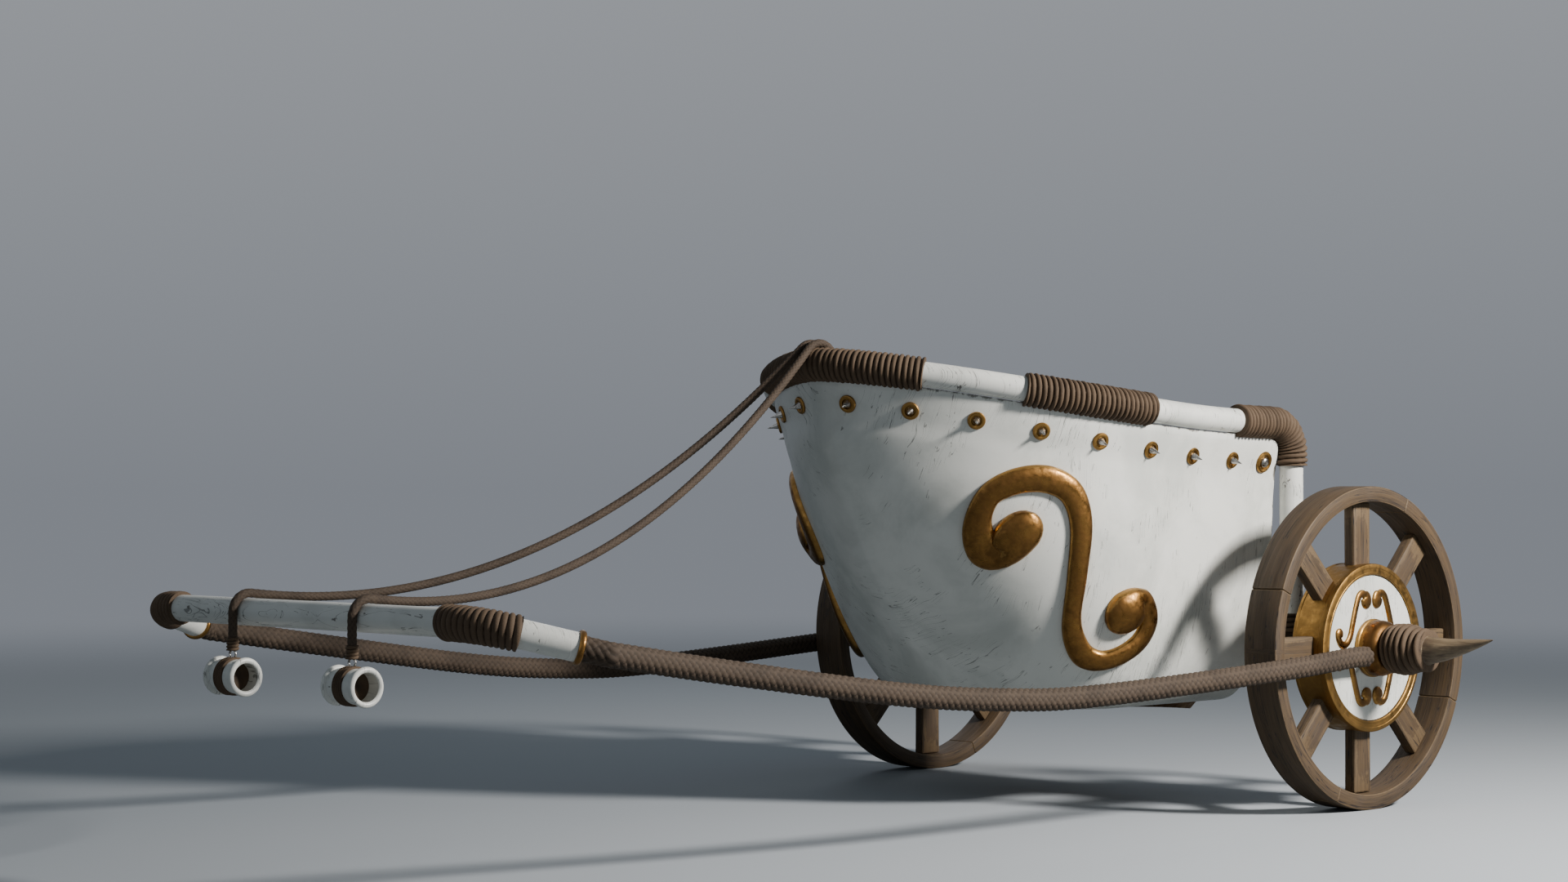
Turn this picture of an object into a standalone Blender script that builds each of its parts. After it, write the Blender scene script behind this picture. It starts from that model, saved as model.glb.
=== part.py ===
"""A two-wheeled chariot: open tub, wrapped rail, spoked wheels, roped shafts, a yoke and reins.

Metres, +Z up. The chariot faces -Y and its left side is +X. Below, places along the chariot are
measured from the axle line, negative towards the yoke, because everything is its child.
"""
import math

import bmesh
import bpy
from mathutils import Vector

# Clearances
GAP = 0.0003
RUNNING_GAP = 0.0006

# Wheels
WHEEL_RADIUS = 0.450
RIM_WIDTH = 0.106
RIM_DEPTH = 0.043
RIM_CHAMFER = 0.006
FELLOE_COUNT = 4
FELLOE_STEPS = 8
TRACK = 1.654
SPOKE_COUNT = 8
SPOKE_WIDTH = 0.079
SPOKE_THICKNESS = 0.034

# Hubs
HUB_RADIUS = 0.2345
HUB_WALL = 0.011
HUB_LIP_WIDTH = 0.031
HUB_SIDES = 24
DRUM_REAR_INSET = 0.001
NAVE_REAR_INSET = 0.003
DRUM_CHAMFER = 0.003
DISC_THICKNESS = 0.010
DISC_RECESS = 0.006
DISC_SCROLL_WIDTH = 0.021
DISC_SCROLL_HEIGHT = 0.007
DISC_SCROLL_STEP = 0.042
DISC_SCROLL_BIG_BALL = 0.023
DISC_SCROLL_SMALL_BALL = 0.016
DISC_SCROLL_PATH = ((0.026, 0.132), (0.030, 0.145), (0.045, 0.152), (0.062, 0.143), (0.076, 0.112),
                    (0.090, 0.072), (0.103, 0.034), (0.122, 0.014), (0.143, 0.015), (0.156, 0.030),
                    (0.154, 0.043))

# Axle, its bosses and its spiked ends
AXLE_BEAM = 0.056
AXLE_ARM_RADIUS = 0.026
AXLE_SIDES = 24
BOSS_RADIUS = 0.081
BOSS_LENGTH = 0.064
BOSS_ROUNDING = 0.020
END_WRAP_LOOPS = 6
END_WRAP_CORD = 0.0165
END_WRAP_PITCH = 0.0180
END_CORE_RADIUS = 0.047
END_CORE_SWELL = 0.010
END_CORE_TAPER = 0.004
END_WRAP_SEAT = 0.0012
HORN_LENGTH = 0.200
HORN_BASE_RADIUS = 0.038
HORN_LIFT = 0.036
HORN_TIP_RADIUS = 0.0012
HORN_STEP = 0.001

# Tub
TUB_HALF_WIDTH = 0.570
TUB_NOSE = 1.2825
TUB_SHOULDER = 0.495
TUB_PLAN_POWER_LONG = 2.3
TUB_PLAN_POWER_WIDE = 1.5
TUB_BOTTOM_Z = 0.280
TUB_WALL = 0.014
TUB_TUCK_Z = 1.035
TUB_TUCK_SIDE = 0.225
TUB_TUCK_SIDE_POWER = 2.6
TUB_TUCK_NOSE = 0.525
TUB_TUCK_NOSE_POWER = 1.20
TUB_FLARE = 0.033
TUB_LIP_DEPTH = 0.020
TUB_BAND_DEPTH = 0.095
TUB_FLARE_DEPTH = 0.160
RIM_STEP = 0.012
NOSE_COLUMNS = 13
SIDE_COLUMNS = 3
WALL_LEVELS = 6
FLOOR_THICKNESS = 0.018
FLOOR_MARGIN = 0.012
FOOT_LENGTH = 0.500
FOOT_THICKNESS = 0.030
FOOT_TIP_THICKNESS = 0.006
FOOT_HALF_WIDTH = 0.300

# Rail
RAIL_RADIUS = 0.03375
RAIL_SIDES = 8
RAIL_REAR_Z = 1.080
RAIL_CLIMB = 0.1391
RAIL_CLIMB_POWER = 2.3
RAIL_CORNER_STEPS = 6
RAIL_CORNER = 0.090
RAIL_STEP = 0.100
RAIL_CORD = 0.013
RAIL_SEAT = 0.0012
WRAP_NOSE_DEPTH = 0.0975
WRAP_MIDDLE_START = -0.610
WRAP_MIDDLE_END = -0.980
WRAP_REAR_END = -0.235
WRAP_REAR_FOOT_Z = 0.955
CORNER_CLEARANCE = 0.010
LASHING_HEIGHT = 0.065
LASHING_THICKNESS = 0.014

# Studs
STUD_SPACING = 0.178
STUDS_EACH_SIDE = 8
RIVET_Y = -0.107
STUD_DROP_REAR = 0.113
STUD_DROP_NOSE = 0.098
STUD_SPIKE_LENGTH = 0.032
STUD_SPIKE_RADIUS = 0.0105
STUD_WASHER_RADIUS = 0.0240
STUD_WASHER_THICKNESS = 0.005
RIVET_RADIUS = 0.0295
STUD_SHANK_RADIUS = 0.005
STUD_BAND_HEIGHT = 0.024
STUD_BAND_THICKNESS = 0.004
STUD_BAND_SEAT = 0.0020
STUD_SIDES = 6
STUD_WASHER_CHAMFER = 0.0025
STUD_POINT_RADIUS = 0.0006
RIVET_STEP = 0.003

# Side scrolls, as places behind the axle line and heights
SCROLL_WIDTH = 0.062
SCROLL_HEIGHT = 0.019
SCROLL_SEAT = 0.0038
SCROLL_STEP = 0.070
SCROLL_BIG_BALL = 0.058
SCROLL_SMALL_BALL = 0.050
SCROLL_PATH = ((-0.942, 0.769), (-0.955, 0.714), (-0.992, 0.732), (-1.023, 0.803), (-1.019, 0.877),
               (-0.971, 0.914), (-0.903, 0.918), (-0.840, 0.883), (-0.805, 0.802), (-0.792, 0.669),
               (-0.773, 0.538), (-0.730, 0.456), (-0.683, 0.426), (-0.629, 0.439), (-0.578, 0.481),
               (-0.562, 0.539), (-0.600, 0.593), (-0.644, 0.559))

# Shafts and yoke
SHAFT_RADIUS = 0.029
SHAFT_FACE_CLEARANCE = 0.003
SHAFT_ROUTE = ((-0.477, 0.408), (-1.170, 0.374), (-1.508, 0.380), (-1.845, 0.409), (-2.336, 0.478))
SHAFT_START_Z = 0.430
SHAFT_TAIL = 0.060
SHAFT_STEP = 0.165
YOKE_RADIUS = 0.0326
YOKE_BAR_Y = 2.9475
YOKE_BAR_Z = 0.603
YOKE_END_X = 0.7605
YOKE_END_Y = 2.7585
YOKE_END_Z = 0.549
YOKE_BEND_X = 0.648
YOKE_BEND_RADIUS = 0.170
YOKE_BEND_STEPS = 7
YOKE_WRAP_BEND_STEPS = 40
YOKE_SIDES = 10
YOKE_WRAP_LOOPS = 13
YOKE_WRAP_CORD = 0.0086
YOKE_WRAP_PITCH = 0.0138
YOKE_WRAP_SEAT = 0.0001
YOKE_RING_LENGTH = 0.014
YOKE_RING_THICKNESS = 0.007
LOOP_POINTS = 8

# Reins: cuffs, ropes, binding and hand loop
REIN_RADIUS = 0.011
REIN_SPREAD_AT_RAIL = 0.016
REIN_SPREAD_AT_YOKE = 0.240
REIN_TURN = 0.22
REIN_SEAT = 0.0007
REIN_RISE = 0.060
REIN_SAG = 0.205
REIN_SAG_STEPS = 12
CUFF_HANG = 0.150
REIN_MEETS_RAIL = 0.2
REIN_FITTINGS = 8
BINDING_LENGTH = 0.110
BINDING_TOP_Z = 1.030
BINDING_FROM_NOSE = 0.075
BINDING_SLOPE = 0.45
BINDING_WIDE_RADIUS = 0.031
BINDING_NARROW_RADIUS = 0.021
HAND_LOOP_LENGTH = 0.190
HAND_LOOP_WIDTH = 0.150
HAND_LOOP_RADIUS = 0.0095
HAND_LOOP_NECK = 0.035
HAND_LOOP_BEND = 0.039
GRIP_LENGTH = 0.058
GRIP_THICKNESS = 0.005
CUFF_LENGTH = 0.120
CUFF_RADIUS = 0.040
CUFF_WALL = 0.006
CUFF_RIM_RADIUS = 0.007
CUFF_SIDES = 12
CUFF_STUB = 0.020
CUFF_STUB_WIDTH = 0.024
CUFF_STUB_THICKNESS = 0.012

# What follows from the sizes
YOKE_WRAP_RADIUS = YOKE_RADIUS + YOKE_WRAP_CORD
YOKE_REACH = YOKE_BAR_Y + YOKE_WRAP_RADIUS
AXLE_Y = (YOKE_REACH - WHEEL_RADIUS) / 2
RIM_INNER = WHEEL_RADIUS - RIM_DEPTH
WHEEL_X = TRACK / 2
WHEEL_FACE_X = WHEEL_X + RIM_WIDTH / 2
DISC_RADIUS = HUB_RADIUS - HUB_LIP_WIDTH
BOSS_START = RIM_WIDTH / 2 - DISC_RECESS + RUNNING_GAP
RAIL_HALF_WIDTH = TUB_HALF_WIDTH + TUB_FLARE
TUB_REAR = -(RAIL_RADIUS + RAIL_CORD / 2)
CORNER_Y = -(RAIL_RADIUS + RAIL_CORD + 2 * RAIL_SEAT)
RAIL_ON_RIM = RAIL_RADIUS + RAIL_CORD + RAIL_SEAT
COLORS = {
    "enamel": ((0.78, 0.78, 0.74), 0.35, 0.0),
    "gilt": ((0.42, 0.23, 0.05), 0.35, 1.0),
    "oak": ((0.20, 0.14, 0.09), 0.70, 0.0),
    "cord": ((0.12, 0.08, 0.055), 0.85, 0.0),
    "rope": ((0.20, 0.14, 0.115), 0.85, 0.0),
    "horn": ((0.42, 0.36, 0.25), 0.45, 0.0),
    "hide": ((0.06, 0.045, 0.035), 0.60, 0.0),
}


def clear_scene():
    """Remove whatever the file holds."""
    for thing in list(bpy.data.objects):
        bpy.data.objects.remove(thing, do_unlink=True)


def material(kind):
    """The Principled material of one kind, made once."""
    found = bpy.data.materials.get(kind)
    if found:
        return found
    color, roughness, metallic = COLORS[kind]
    made = bpy.data.materials.new(kind)
    made.use_nodes = True
    shader = made.node_tree.nodes["Principled BSDF"]
    shader.inputs["Base Color"].default_value = (*color, 1.0)
    shader.inputs["Roughness"].default_value = roughness
    shader.inputs["Metallic"].default_value = metallic
    return made


def place(name, data, kind, parent):
    """Put mesh or curve data into the scene as the named piece."""
    thing = bpy.data.objects.new(name, data)
    bpy.context.scene.collection.objects.link(thing)
    if not data.materials:
        data.materials.append(material(kind))
    thing.parent = parent
    return thing


def pivot(name, parent, location, turn=0.0):
    """An empty that carries the pieces of one body."""
    empty = bpy.data.objects.new(name, None)
    bpy.context.scene.collection.objects.link(empty)
    empty.parent = parent
    empty.location = location
    empty.rotation_euler = (0.0, 0.0, turn)
    return empty


def mesh_from(name, build, smooth_angle=0.6):
    """A mesh filled by a function that takes a bmesh."""
    work = bmesh.new()
    build(work)
    bmesh.ops.recalc_face_normals(work, faces=work.faces[:])
    mesh = bpy.data.meshes.new(name)
    work.to_mesh(mesh)
    work.free()
    mesh.shade_smooth()
    mesh.set_sharp_from_angle(angle=smooth_angle)
    return mesh


def skin_rings(work, rings, closed=False):
    """Join rings of as many points each into one tube, with its ends capped unless it closes."""
    made = [[work.verts.new(point) for point in ring] for ring in rings]
    count = len(made[0])
    pairs = list(zip(made, made[1:]))
    if closed:
        pairs.append((made[-1], made[0]))
    for low, high in pairs:
        for i in range(count):
            j = (i + 1) % count
            work.faces.new((low[i], low[j], high[j], high[i]))
    if not closed:
        work.faces.new(made[0])
        work.faces.new(made[-1])


def turned(name, profile, sides, bore=0.0):
    """A piece turned about X, from (x, radius) pairs, with a bore of one radius if it has one."""
    def ring(x, radius):
        angles = [2 * math.pi * i / sides for i in range(sides)]
        return [Vector((x, radius * math.cos(a), radius * math.sin(a))) for a in angles]

    def build(work):
        rings = [ring(x, radius) for x, radius in profile]
        if bore:
            rings += [ring(profile[-1][0], bore), ring(profile[0][0], bore)]
        skin_rings(work, rings, closed=bool(bore))

    return mesh_from(name, build)


def baked(target, cutters):
    """The mesh of an object after (operation, object) cuts, which are then removed."""
    for operation, cutter in cutters:
        cutter.hide_render = True
        cutter.display_type = "WIRE"
        step = target.modifiers.new(operation, "BOOLEAN")
        step.operation = operation
        step.solver = "EXACT"
        step.object = cutter
    bpy.context.view_layer.update()
    graph = bpy.context.evaluated_depsgraph_get()
    mesh = bpy.data.meshes.new_from_object(target.evaluated_get(graph))
    for thing in [target] + [cutter for _, cutter in cutters]:
        bpy.data.objects.remove(thing, do_unlink=True)
    mesh.shade_smooth()
    mesh.set_sharp_from_angle(angle=0.6)
    return mesh


def loose(name, mesh):
    """A helper object for cutting, which has no material."""
    thing = bpy.data.objects.new(name, mesh)
    bpy.context.scene.collection.objects.link(thing)
    return thing


def box_mesh(name, low, high):
    """A box between two corners."""
    def build(work):
        xs, ys, zs = zip(low, high)
        rings = [[(xs[0], ys[0], z), (xs[1], ys[0], z), (xs[1], ys[1], z), (xs[0], ys[1], z)]
                 for z in zs]
        skin_rings(work, rings)

    return mesh_from(name, build)


def frames_along(path):
    """Tangent, side and up of each point of a path, without twist."""
    tangents = []
    for i in range(len(path)):
        before = path[max(i - 1, 0)]
        after = path[min(i + 1, len(path) - 1)]
        tangents.append((after - before).normalized())
    side = tangents[0].orthogonal().normalized()
    frames = []
    for i, tangent in enumerate(tangents):
        if i:
            side = tangents[i - 1].rotation_difference(tangent) @ side
        side = (side - tangent * side.dot(tangent)).normalized()
        frames.append((tangent, side, tangent.cross(side)))
    return frames


def ring_about(point, frame, radius, sides):
    """Points round a path's point, in the plane across the path."""
    _, side, up = frame
    angles = [2 * math.pi * i / sides for i in range(sides)]
    return [point + side * (radius * math.cos(a)) + up * (radius * math.sin(a)) for a in angles]


def swept(name, path, frames, radius, sides, inner=0.0):
    """A bar along a path, or a sleeve if it has an inner radius."""
    def build(work):
        outside = [ring_about(p, f, radius, sides) for p, f in zip(path, frames)]
        if not inner:
            skin_rings(work, outside)
            return
        inside = [ring_about(p, f, inner, sides) for p, f in zip(path, frames)]
        skin_rings(work, outside + inside[::-1], closed=True)

    return mesh_from(name, build)


def tube(name, points, radius, resolution):
    """A rope or cord: a poly curve with a round bevel and filled ends."""
    curve = bpy.data.curves.new(name, "CURVE")
    curve.dimensions = "3D"
    curve.bevel_depth = radius
    curve.bevel_resolution = resolution
    curve.use_fill_caps = True
    spline = curve.splines.new("POLY")
    spline.points.add(len(points) - 1)
    for knot, point in zip(spline.points, points):
        knot.co = (*point, 1.0)
    return curve


def resampled(path, step):
    """Points at an even step along a path."""
    lengths = [0.0]
    for a, b in zip(path, path[1:]):
        lengths.append(lengths[-1] + (b - a).length)
    count = max(2, round(lengths[-1] / step))
    found, k = [], 0
    for i in range(count + 1):
        goal = lengths[-1] * i / count
        while k < len(path) - 2 and lengths[k + 1] < goal:
            k += 1
        part = (goal - lengths[k]) / max(lengths[k + 1] - lengths[k], 1e-9)
        found.append(path[k].lerp(path[k + 1], part))
    return found


def smooth_through(knots, per_span=12):
    """A Catmull-Rom curve through the knots."""
    ends = [knots[0] * 2 - knots[1]] + list(knots) + [knots[-1] * 2 - knots[-2]]
    points = []
    for a, b, c, d in zip(ends, ends[1:], ends[2:], ends[3:]):
        for i in range(per_span):
            t = i / per_span
            points.append(0.5 * ((2 * b) + (c - a) * t + (2 * a - 5 * b + 4 * c - d) * t * t
                                 + (3 * b - a - 3 * c + d) * t ** 3))
    points.append(knots[-1].copy())
    return points


def length_of(path):
    """Length of a path."""
    return sum((b - a).length for a, b in zip(path, path[1:]))


# Tub surface


def rail_height(y):
    """Height of the rail's centre line above a place along the chariot."""
    return RAIL_REAR_Z + RAIL_CLIMB * (abs(y) / TUB_NOSE) ** RAIL_CLIMB_POWER


def stud_height(y):
    """Height of the row of studs at a place along the chariot."""
    return rail_height(y) - STUD_DROP_REAR - (STUD_DROP_NOSE - STUD_DROP_REAR) * -y / TUB_NOSE


def lip_height(y):
    """Height of the line that the wall's flare is measured down from."""
    return rail_height(y) - RAIL_ON_RIM


def rim_height(y):
    """Height of the tub's top edge, which the wrapped rail rests on and which clears its corner."""
    if y < -RAIL_CORNER:
        return lip_height(y)
    corner_z = rail_height(-RAIL_CORNER) - RAIL_CORNER
    if y > CORNER_Y:
        share = (y - CORNER_Y) / (TUB_REAR - CORNER_Y)
        return corner_z + (WRAP_REAR_FOOT_Z - CORNER_CLEARANCE - corner_z) * share
    room = RAIL_CORNER - RAIL_ON_RIM - RAIL_SEAT
    return corner_z + math.sqrt(max(room * room - (y + RAIL_CORNER) ** 2, 0.0))


def tuck(z, power):
    """How far the wall has drawn in at a height, from 0 at the top to 1 at the bottom."""
    share = min(max((TUB_TUCK_Z - z) / (TUB_TUCK_Z - TUB_BOTTOM_Z), 0.0), 1.0)
    return 1 - (1 - share ** power) ** (1 / power)


def flare(depth):
    """How far the wall leans out at a depth below the rim."""
    marks = ((0.0, 1.0), (TUB_LIP_DEPTH, 0.85), (TUB_BAND_DEPTH, 0.16), (TUB_FLARE_DEPTH, 0.0))
    for (d0, f0), (d1, f1) in zip(marks, marks[1:]):
        if depth <= d1:
            return TUB_FLARE * (f0 + (f1 - f0) * (depth - d0) / (d1 - d0))
    return 0.0


def plan_size(z, lean):
    """Half width and nose length of the tub's plan at a height."""
    wide = TUB_HALF_WIDTH - TUB_TUCK_SIDE * tuck(z, TUB_TUCK_SIDE_POWER) + lean
    long = TUB_NOSE - TUB_SHOULDER - TUB_TUCK_NOSE * tuck(z, TUB_TUCK_NOSE_POWER) + lean
    return wide, long


def column_point(turn, straight, z, lean):
    """A point of the left wall: turn runs from 0 at the nose to a quarter turn at the shoulder."""
    wide, long = plan_size(z, lean)
    if straight is not None:
        return Vector((wide, straight, z))
    x = wide * math.sin(turn) ** (2 / TUB_PLAN_POWER_WIDE)
    y = -TUB_SHOULDER - long * math.cos(turn) ** (2 / TUB_PLAN_POWER_LONG)
    return Vector((x, y, z))


def columns():
    """The wall's columns on the left half, from the nose to the rear edge."""
    turns = [(math.pi / 2 * (i / NOSE_COLUMNS) ** 0.9, None) for i in range(NOSE_COLUMNS)]
    sides = [(None, -TUB_SHOULDER * (1 - i / SIDE_COLUMNS)) for i in range(SIDE_COLUMNS)]
    corner = [(None, y) for y in (-RAIL_CORNER, (CORNER_Y - RAIL_CORNER) / 2, CORNER_Y, TUB_REAR)]
    return turns + sides + corner


def column_y(turn, straight):
    """How far along the chariot a column's top is."""
    return column_point(turn, straight, TUB_TUCK_Z, TUB_FLARE).y


def column_heights(y):
    """Heights of the wall's levels in a column, close together in the flare and at the tuck."""
    rim, lip = rim_height(y), lip_height(y)
    marks = (0.0, TUB_LIP_DEPTH, TUB_BAND_DEPTH, TUB_FLARE_DEPTH)
    upper = [min(lip - depth, rim - RIM_STEP * k) for k, depth in enumerate(marks)]
    turns = [math.pi / 2 * (k + 1) / WALL_LEVELS for k in range(WALL_LEVELS)]
    return upper + [upper[-1] - math.sin(t) * (upper[-1] - TUB_BOTTOM_Z) for t in turns]


def wall_grid():
    """The outer wall's points, one list for each column of the left half."""
    grid = []
    for turn, straight in columns():
        y = column_y(turn, straight)
        grid.append([column_point(turn, straight, z, flare(lip_height(y) - z))
                     for z in column_heights(y)])
    return grid


def wall_x(y, z):
    """Half width of the tub's outer face at a place along it and a height."""
    wide, long = plan_size(z, flare(lip_height(y) - z))
    ahead = max(-TUB_SHOULDER - y, 0.0) / long
    return wide * max(1 - ahead ** TUB_PLAN_POWER_LONG, 0.0) ** (1 / TUB_PLAN_POWER_WIDE)


def wall_frame(y, z, side):
    """Point and outward normal of the outer face, on the left (side 1) or right (side -1)."""
    step = 0.004
    here = Vector((side * wall_x(y, z), y, z))
    along = Vector((side * (wall_x(y + step, z) - wall_x(y - step, z)), 2 * step, 0))
    upward = Vector((side * (wall_x(y, z + step) - wall_x(y, z - step)), 0, 2 * step))
    return here, along.cross(upward).normalized() * side


def stud_places():
    """Places of one side's studs and its rivet, as (y, z) on the wall, evenly along the row."""
    line = []
    for i in range(1500):
        y = TUB_REAR - (TUB_NOSE + TUB_REAR - 0.0002) * i / 1499
        z = stud_height(y)
        line.append(Vector((wall_x(y, z), y, z)))
    line.reverse()
    places, run, wanted = [], line[0].x, STUD_SPACING / 2
    for a, b in zip(line, line[1:]):
        run += (b - a).length
        if run >= wanted:
            places.append((b.y, b.z))
            wanted += STUD_SPACING
        if len(places) == STUDS_EACH_SIDE:
            break
    return places + [(RIVET_Y, stud_height(RIVET_Y))]


# Building the tub


def build_shell(root):
    """The tub's shell: a scoop with an open back and top, holed for its studs."""
    grid = wall_grid()

    def build(work):
        left = [[work.verts.new(p) for p in column] for column in grid]
        right = [left[0]] + [[work.verts.new((-p.x, p.y, p.z)) for p in column]
                             for column in grid[1:]]
        for half in (left, right):
            for a, b in zip(half, half[1:]):
                for k in range(len(a) - 1):
                    work.faces.new((a[k], a[k + 1], b[k + 1], b[k]))
        for i in range(len(left) - 1):
            ring = [left[i][-1], left[i + 1][-1], right[i + 1][-1], right[i][-1]]
            work.faces.new(list(dict.fromkeys(ring)))

    mesh = mesh_from("tub_shell", build)
    shell = loose("shell_blank", mesh)
    thick = shell.modifiers.new("wall", "SOLIDIFY")
    thick.thickness = TUB_WALL
    thick.offset = -1.0
    thick.use_even_offset = True
    holes = loose("stud_holes", mesh_from("stud_holes", drill_studs))
    place("tub_shell", baked(shell, [("DIFFERENCE", holes)]), "enamel", root)


def drill_studs(work):
    """Cylinders where the studs' shanks pass through both walls."""
    for side in (1, -1):
        for y, z in stud_places():
            add_turned(work, wall_frame(y, z, side), 0.0,
                       ((-3 * TUB_WALL, STUD_SHANK_RADIUS + GAP), (TUB_WALL, STUD_SHANK_RADIUS + GAP)))


def add_turned(work, seat, turn, profile):
    """Add a piece turned about the wall's normal, from (height, radius) pairs."""
    here, normal = seat
    across = normal.orthogonal().normalized()
    other = normal.cross(across)
    rings = []
    for height, radius in profile:
        angles = [turn + 2 * math.pi * i / STUD_SIDES for i in range(STUD_SIDES)]
        rings.append([here + normal * height + (across * math.cos(a) + other * math.sin(a)) * radius
                      for a in angles])
    skin_rings(work, rings)


def stud_profile():
    """A spiked stud: shank, washer and spike, as heights above the wall and radii."""
    top = GAP + STUD_WASHER_THICKNESS
    back = -(TUB_WALL + STUD_BAND_SEAT + 2 * STUD_BAND_THICKNESS)
    return ((back, STUD_SHANK_RADIUS), (GAP, STUD_SHANK_RADIUS), (GAP, STUD_WASHER_RADIUS),
            (top, STUD_WASHER_RADIUS - STUD_WASHER_CHAMFER), (top, STUD_SPIKE_RADIUS),
            (top + STUD_SPIKE_LENGTH, STUD_POINT_RADIUS))


def rivet_profile():
    """The big domed rivet at the rear of each row."""
    top = GAP + STUD_WASHER_THICKNESS
    back = stud_profile()[0][0]
    dome = RIVET_RADIUS * 0.45
    return ((back, STUD_SHANK_RADIUS), (GAP, STUD_SHANK_RADIUS), (GAP, RIVET_RADIUS),
            (top, RIVET_RADIUS), (top + RIVET_STEP, RIVET_RADIUS - RIVET_STEP),
            (top, dome + RIVET_STEP), (top + RIVET_STEP, dome), (top + 3 * RIVET_STEP, dome / 2))


def build_stud_band(root, name, side):
    """One side's studs, clenched over a band that lies inside the wall."""
    places = stud_places()
    inner = -(TUB_WALL + STUD_BAND_SEAT)

    def build_band(work):
        rings = []
        for turn, straight in columns()[1:-3]:
            y = column_y(turn, straight)
            z = stud_height(y)
            here = column_point(turn, straight, z, flare(lip_height(y) - z))
            here.x *= side
            normal = wall_frame(here.y, z, side)[1]
            up = Vector((0.0, 0.0, 1.0))
            up = (up - normal * up.dot(normal)).normalized()
            ring = []
            for rise, depth in ((-0.5, 0), (0.5, 0), (0.5, 1), (-0.5, 1)):
                offset = normal * (inner - depth * STUD_BAND_THICKNESS)
                ring.append(here + offset + up * rise * STUD_BAND_HEIGHT)
            rings.append(ring)
        skin_rings(work, rings)

    def build_studs(work):
        for y, z in places[:-1]:
            add_turned(work, wall_frame(y, z, side), 0.0, stud_profile())
        add_turned(work, wall_frame(*places[-1], side), 0.0, rivet_profile())

    band = loose("band_blank", mesh_from("band", build_band))
    studs = loose("stud_blanks", mesh_from("studs", build_studs))
    place(name, baked(band, [("UNION", studs)]), "gilt", root)


def build_floor(root):
    """The loose board that the rider stands on, and the shoe under the tub's rear."""
    z0 = TUB_BOTTOM_Z + TUB_WALL + GAP

    def outline(z, margin, rear):
        wide, long = plan_size(TUB_BOTTOM_Z, 0.0)
        points = []
        for i in range(2 * NOSE_COLUMNS + 1):
            turn = math.pi / 2 * (i / NOSE_COLUMNS - 1)
            x = (wide - margin) * math.copysign(abs(math.sin(turn)) ** (2 / TUB_PLAN_POWER_WIDE), turn)
            y = -TUB_SHOULDER - (long - margin) * max(math.cos(turn), 0.0) ** (2 / TUB_PLAN_POWER_LONG)
            points.append(Vector((x, y, z)))
        return [Vector((-(wide - margin), rear, z))] + points + [Vector((wide - margin, rear, z))]

    def build(work):
        rings = [outline(z, FLOOR_MARGIN, TUB_REAR - FLOOR_MARGIN) for z in (z0, z0 + FLOOR_THICKNESS)]
        skin_rings(work, rings)

    place("floor_board", mesh_from("floor_board", build), "oak", root)

    def build_foot(work):
        top = TUB_BOTTOM_Z - GAP
        steps = 8
        rings = []
        for i in range(steps + 1):
            share = i / steps
            y = TUB_REAR - FOOT_LENGTH * share
            thick = FOOT_TIP_THICKNESS + (FOOT_THICKNESS - FOOT_TIP_THICKNESS) * (1 - share) ** 2
            half = FOOT_HALF_WIDTH * (1 - 0.25 * share * share)
            rings.append([(-half, y, top), (half, y, top), (half - thick, y, top - thick),
                          (-half + thick, y, top - thick)])
        skin_rings(work, rings)

    place("foot_shoe", mesh_from("foot_shoe", build_foot), "gilt", root)


def relief(work, path, widths, heights, seat, surface):
    """A domed band on a surface, along a flat path; surface(u, v) gives a point and its normal."""
    arcs = 4
    rings = []
    for i, (point, width, height) in enumerate(zip(path, widths, heights)):
        before = path[max(i - 1, 0)]
        after = path[min(i + 1, len(path) - 1)]
        along = (after - before).normalized()
        across = Vector((-along.y, along.x))
        ring = []
        for k in range(arcs + 1):
            angle = math.pi * k / arcs
            spot = point + across * (width * math.cos(angle))
            here, normal = surface(spot.x, spot.y)
            ring.append(here + normal * (seat + height * math.sin(angle)))
        here, normal = surface(point.x, point.y)
        ring.append(here + normal * seat)
        rings.append(ring)
    skin_rings(work, rings)


def relief_scroll(work, knots, sizes, surface, step):
    """An S-scroll with a round boss at each end."""
    big, small, width, height, seat = sizes
    flat = [Vector((u, v, 0.0)) for u, v in knots]
    curve = resampled(smooth_through(flat), step)
    curve = [p.to_2d() for p in curve]
    total = len(curve) - 1
    run = [0.0]
    for a, b in zip(curve, curve[1:]):
        run.append(run[-1] + (b - a).length)
    path, widths, heights = [], [], []
    start = (curve[0] - curve[1]).normalized()
    for share in (0.97, 0.75, 0.40):
        path.append(curve[0] + start * big * share)
        widths.append(big * math.sqrt(1 - share * share))
        heights.append(height * (0.35 + 0.65 * math.sqrt(1 - share * share)))
    for i in range(total + 1):
        from_big, from_small = run[i], run[-1] - run[i]
        half = width / 2
        if from_big < big:
            half = max(half * 0.9, big * math.sqrt(1 - (from_big / big) ** 2))
        if from_small < small:
            half = max(half * 0.9, small * math.sqrt(1 - (from_small / small) ** 2))
        path.append(curve[i])
        widths.append(half)
        heights.append(height)
    end = (curve[-1] - curve[-2]).normalized()
    for share in (0.40, 0.75, 0.97):
        path.append(curve[-1] + end * small * share)
        widths.append(small * math.sqrt(1 - share * share))
        heights.append(height * (0.35 + 0.65 * math.sqrt(1 - share * share)))
    relief(work, path, widths, heights, seat, surface)


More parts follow.
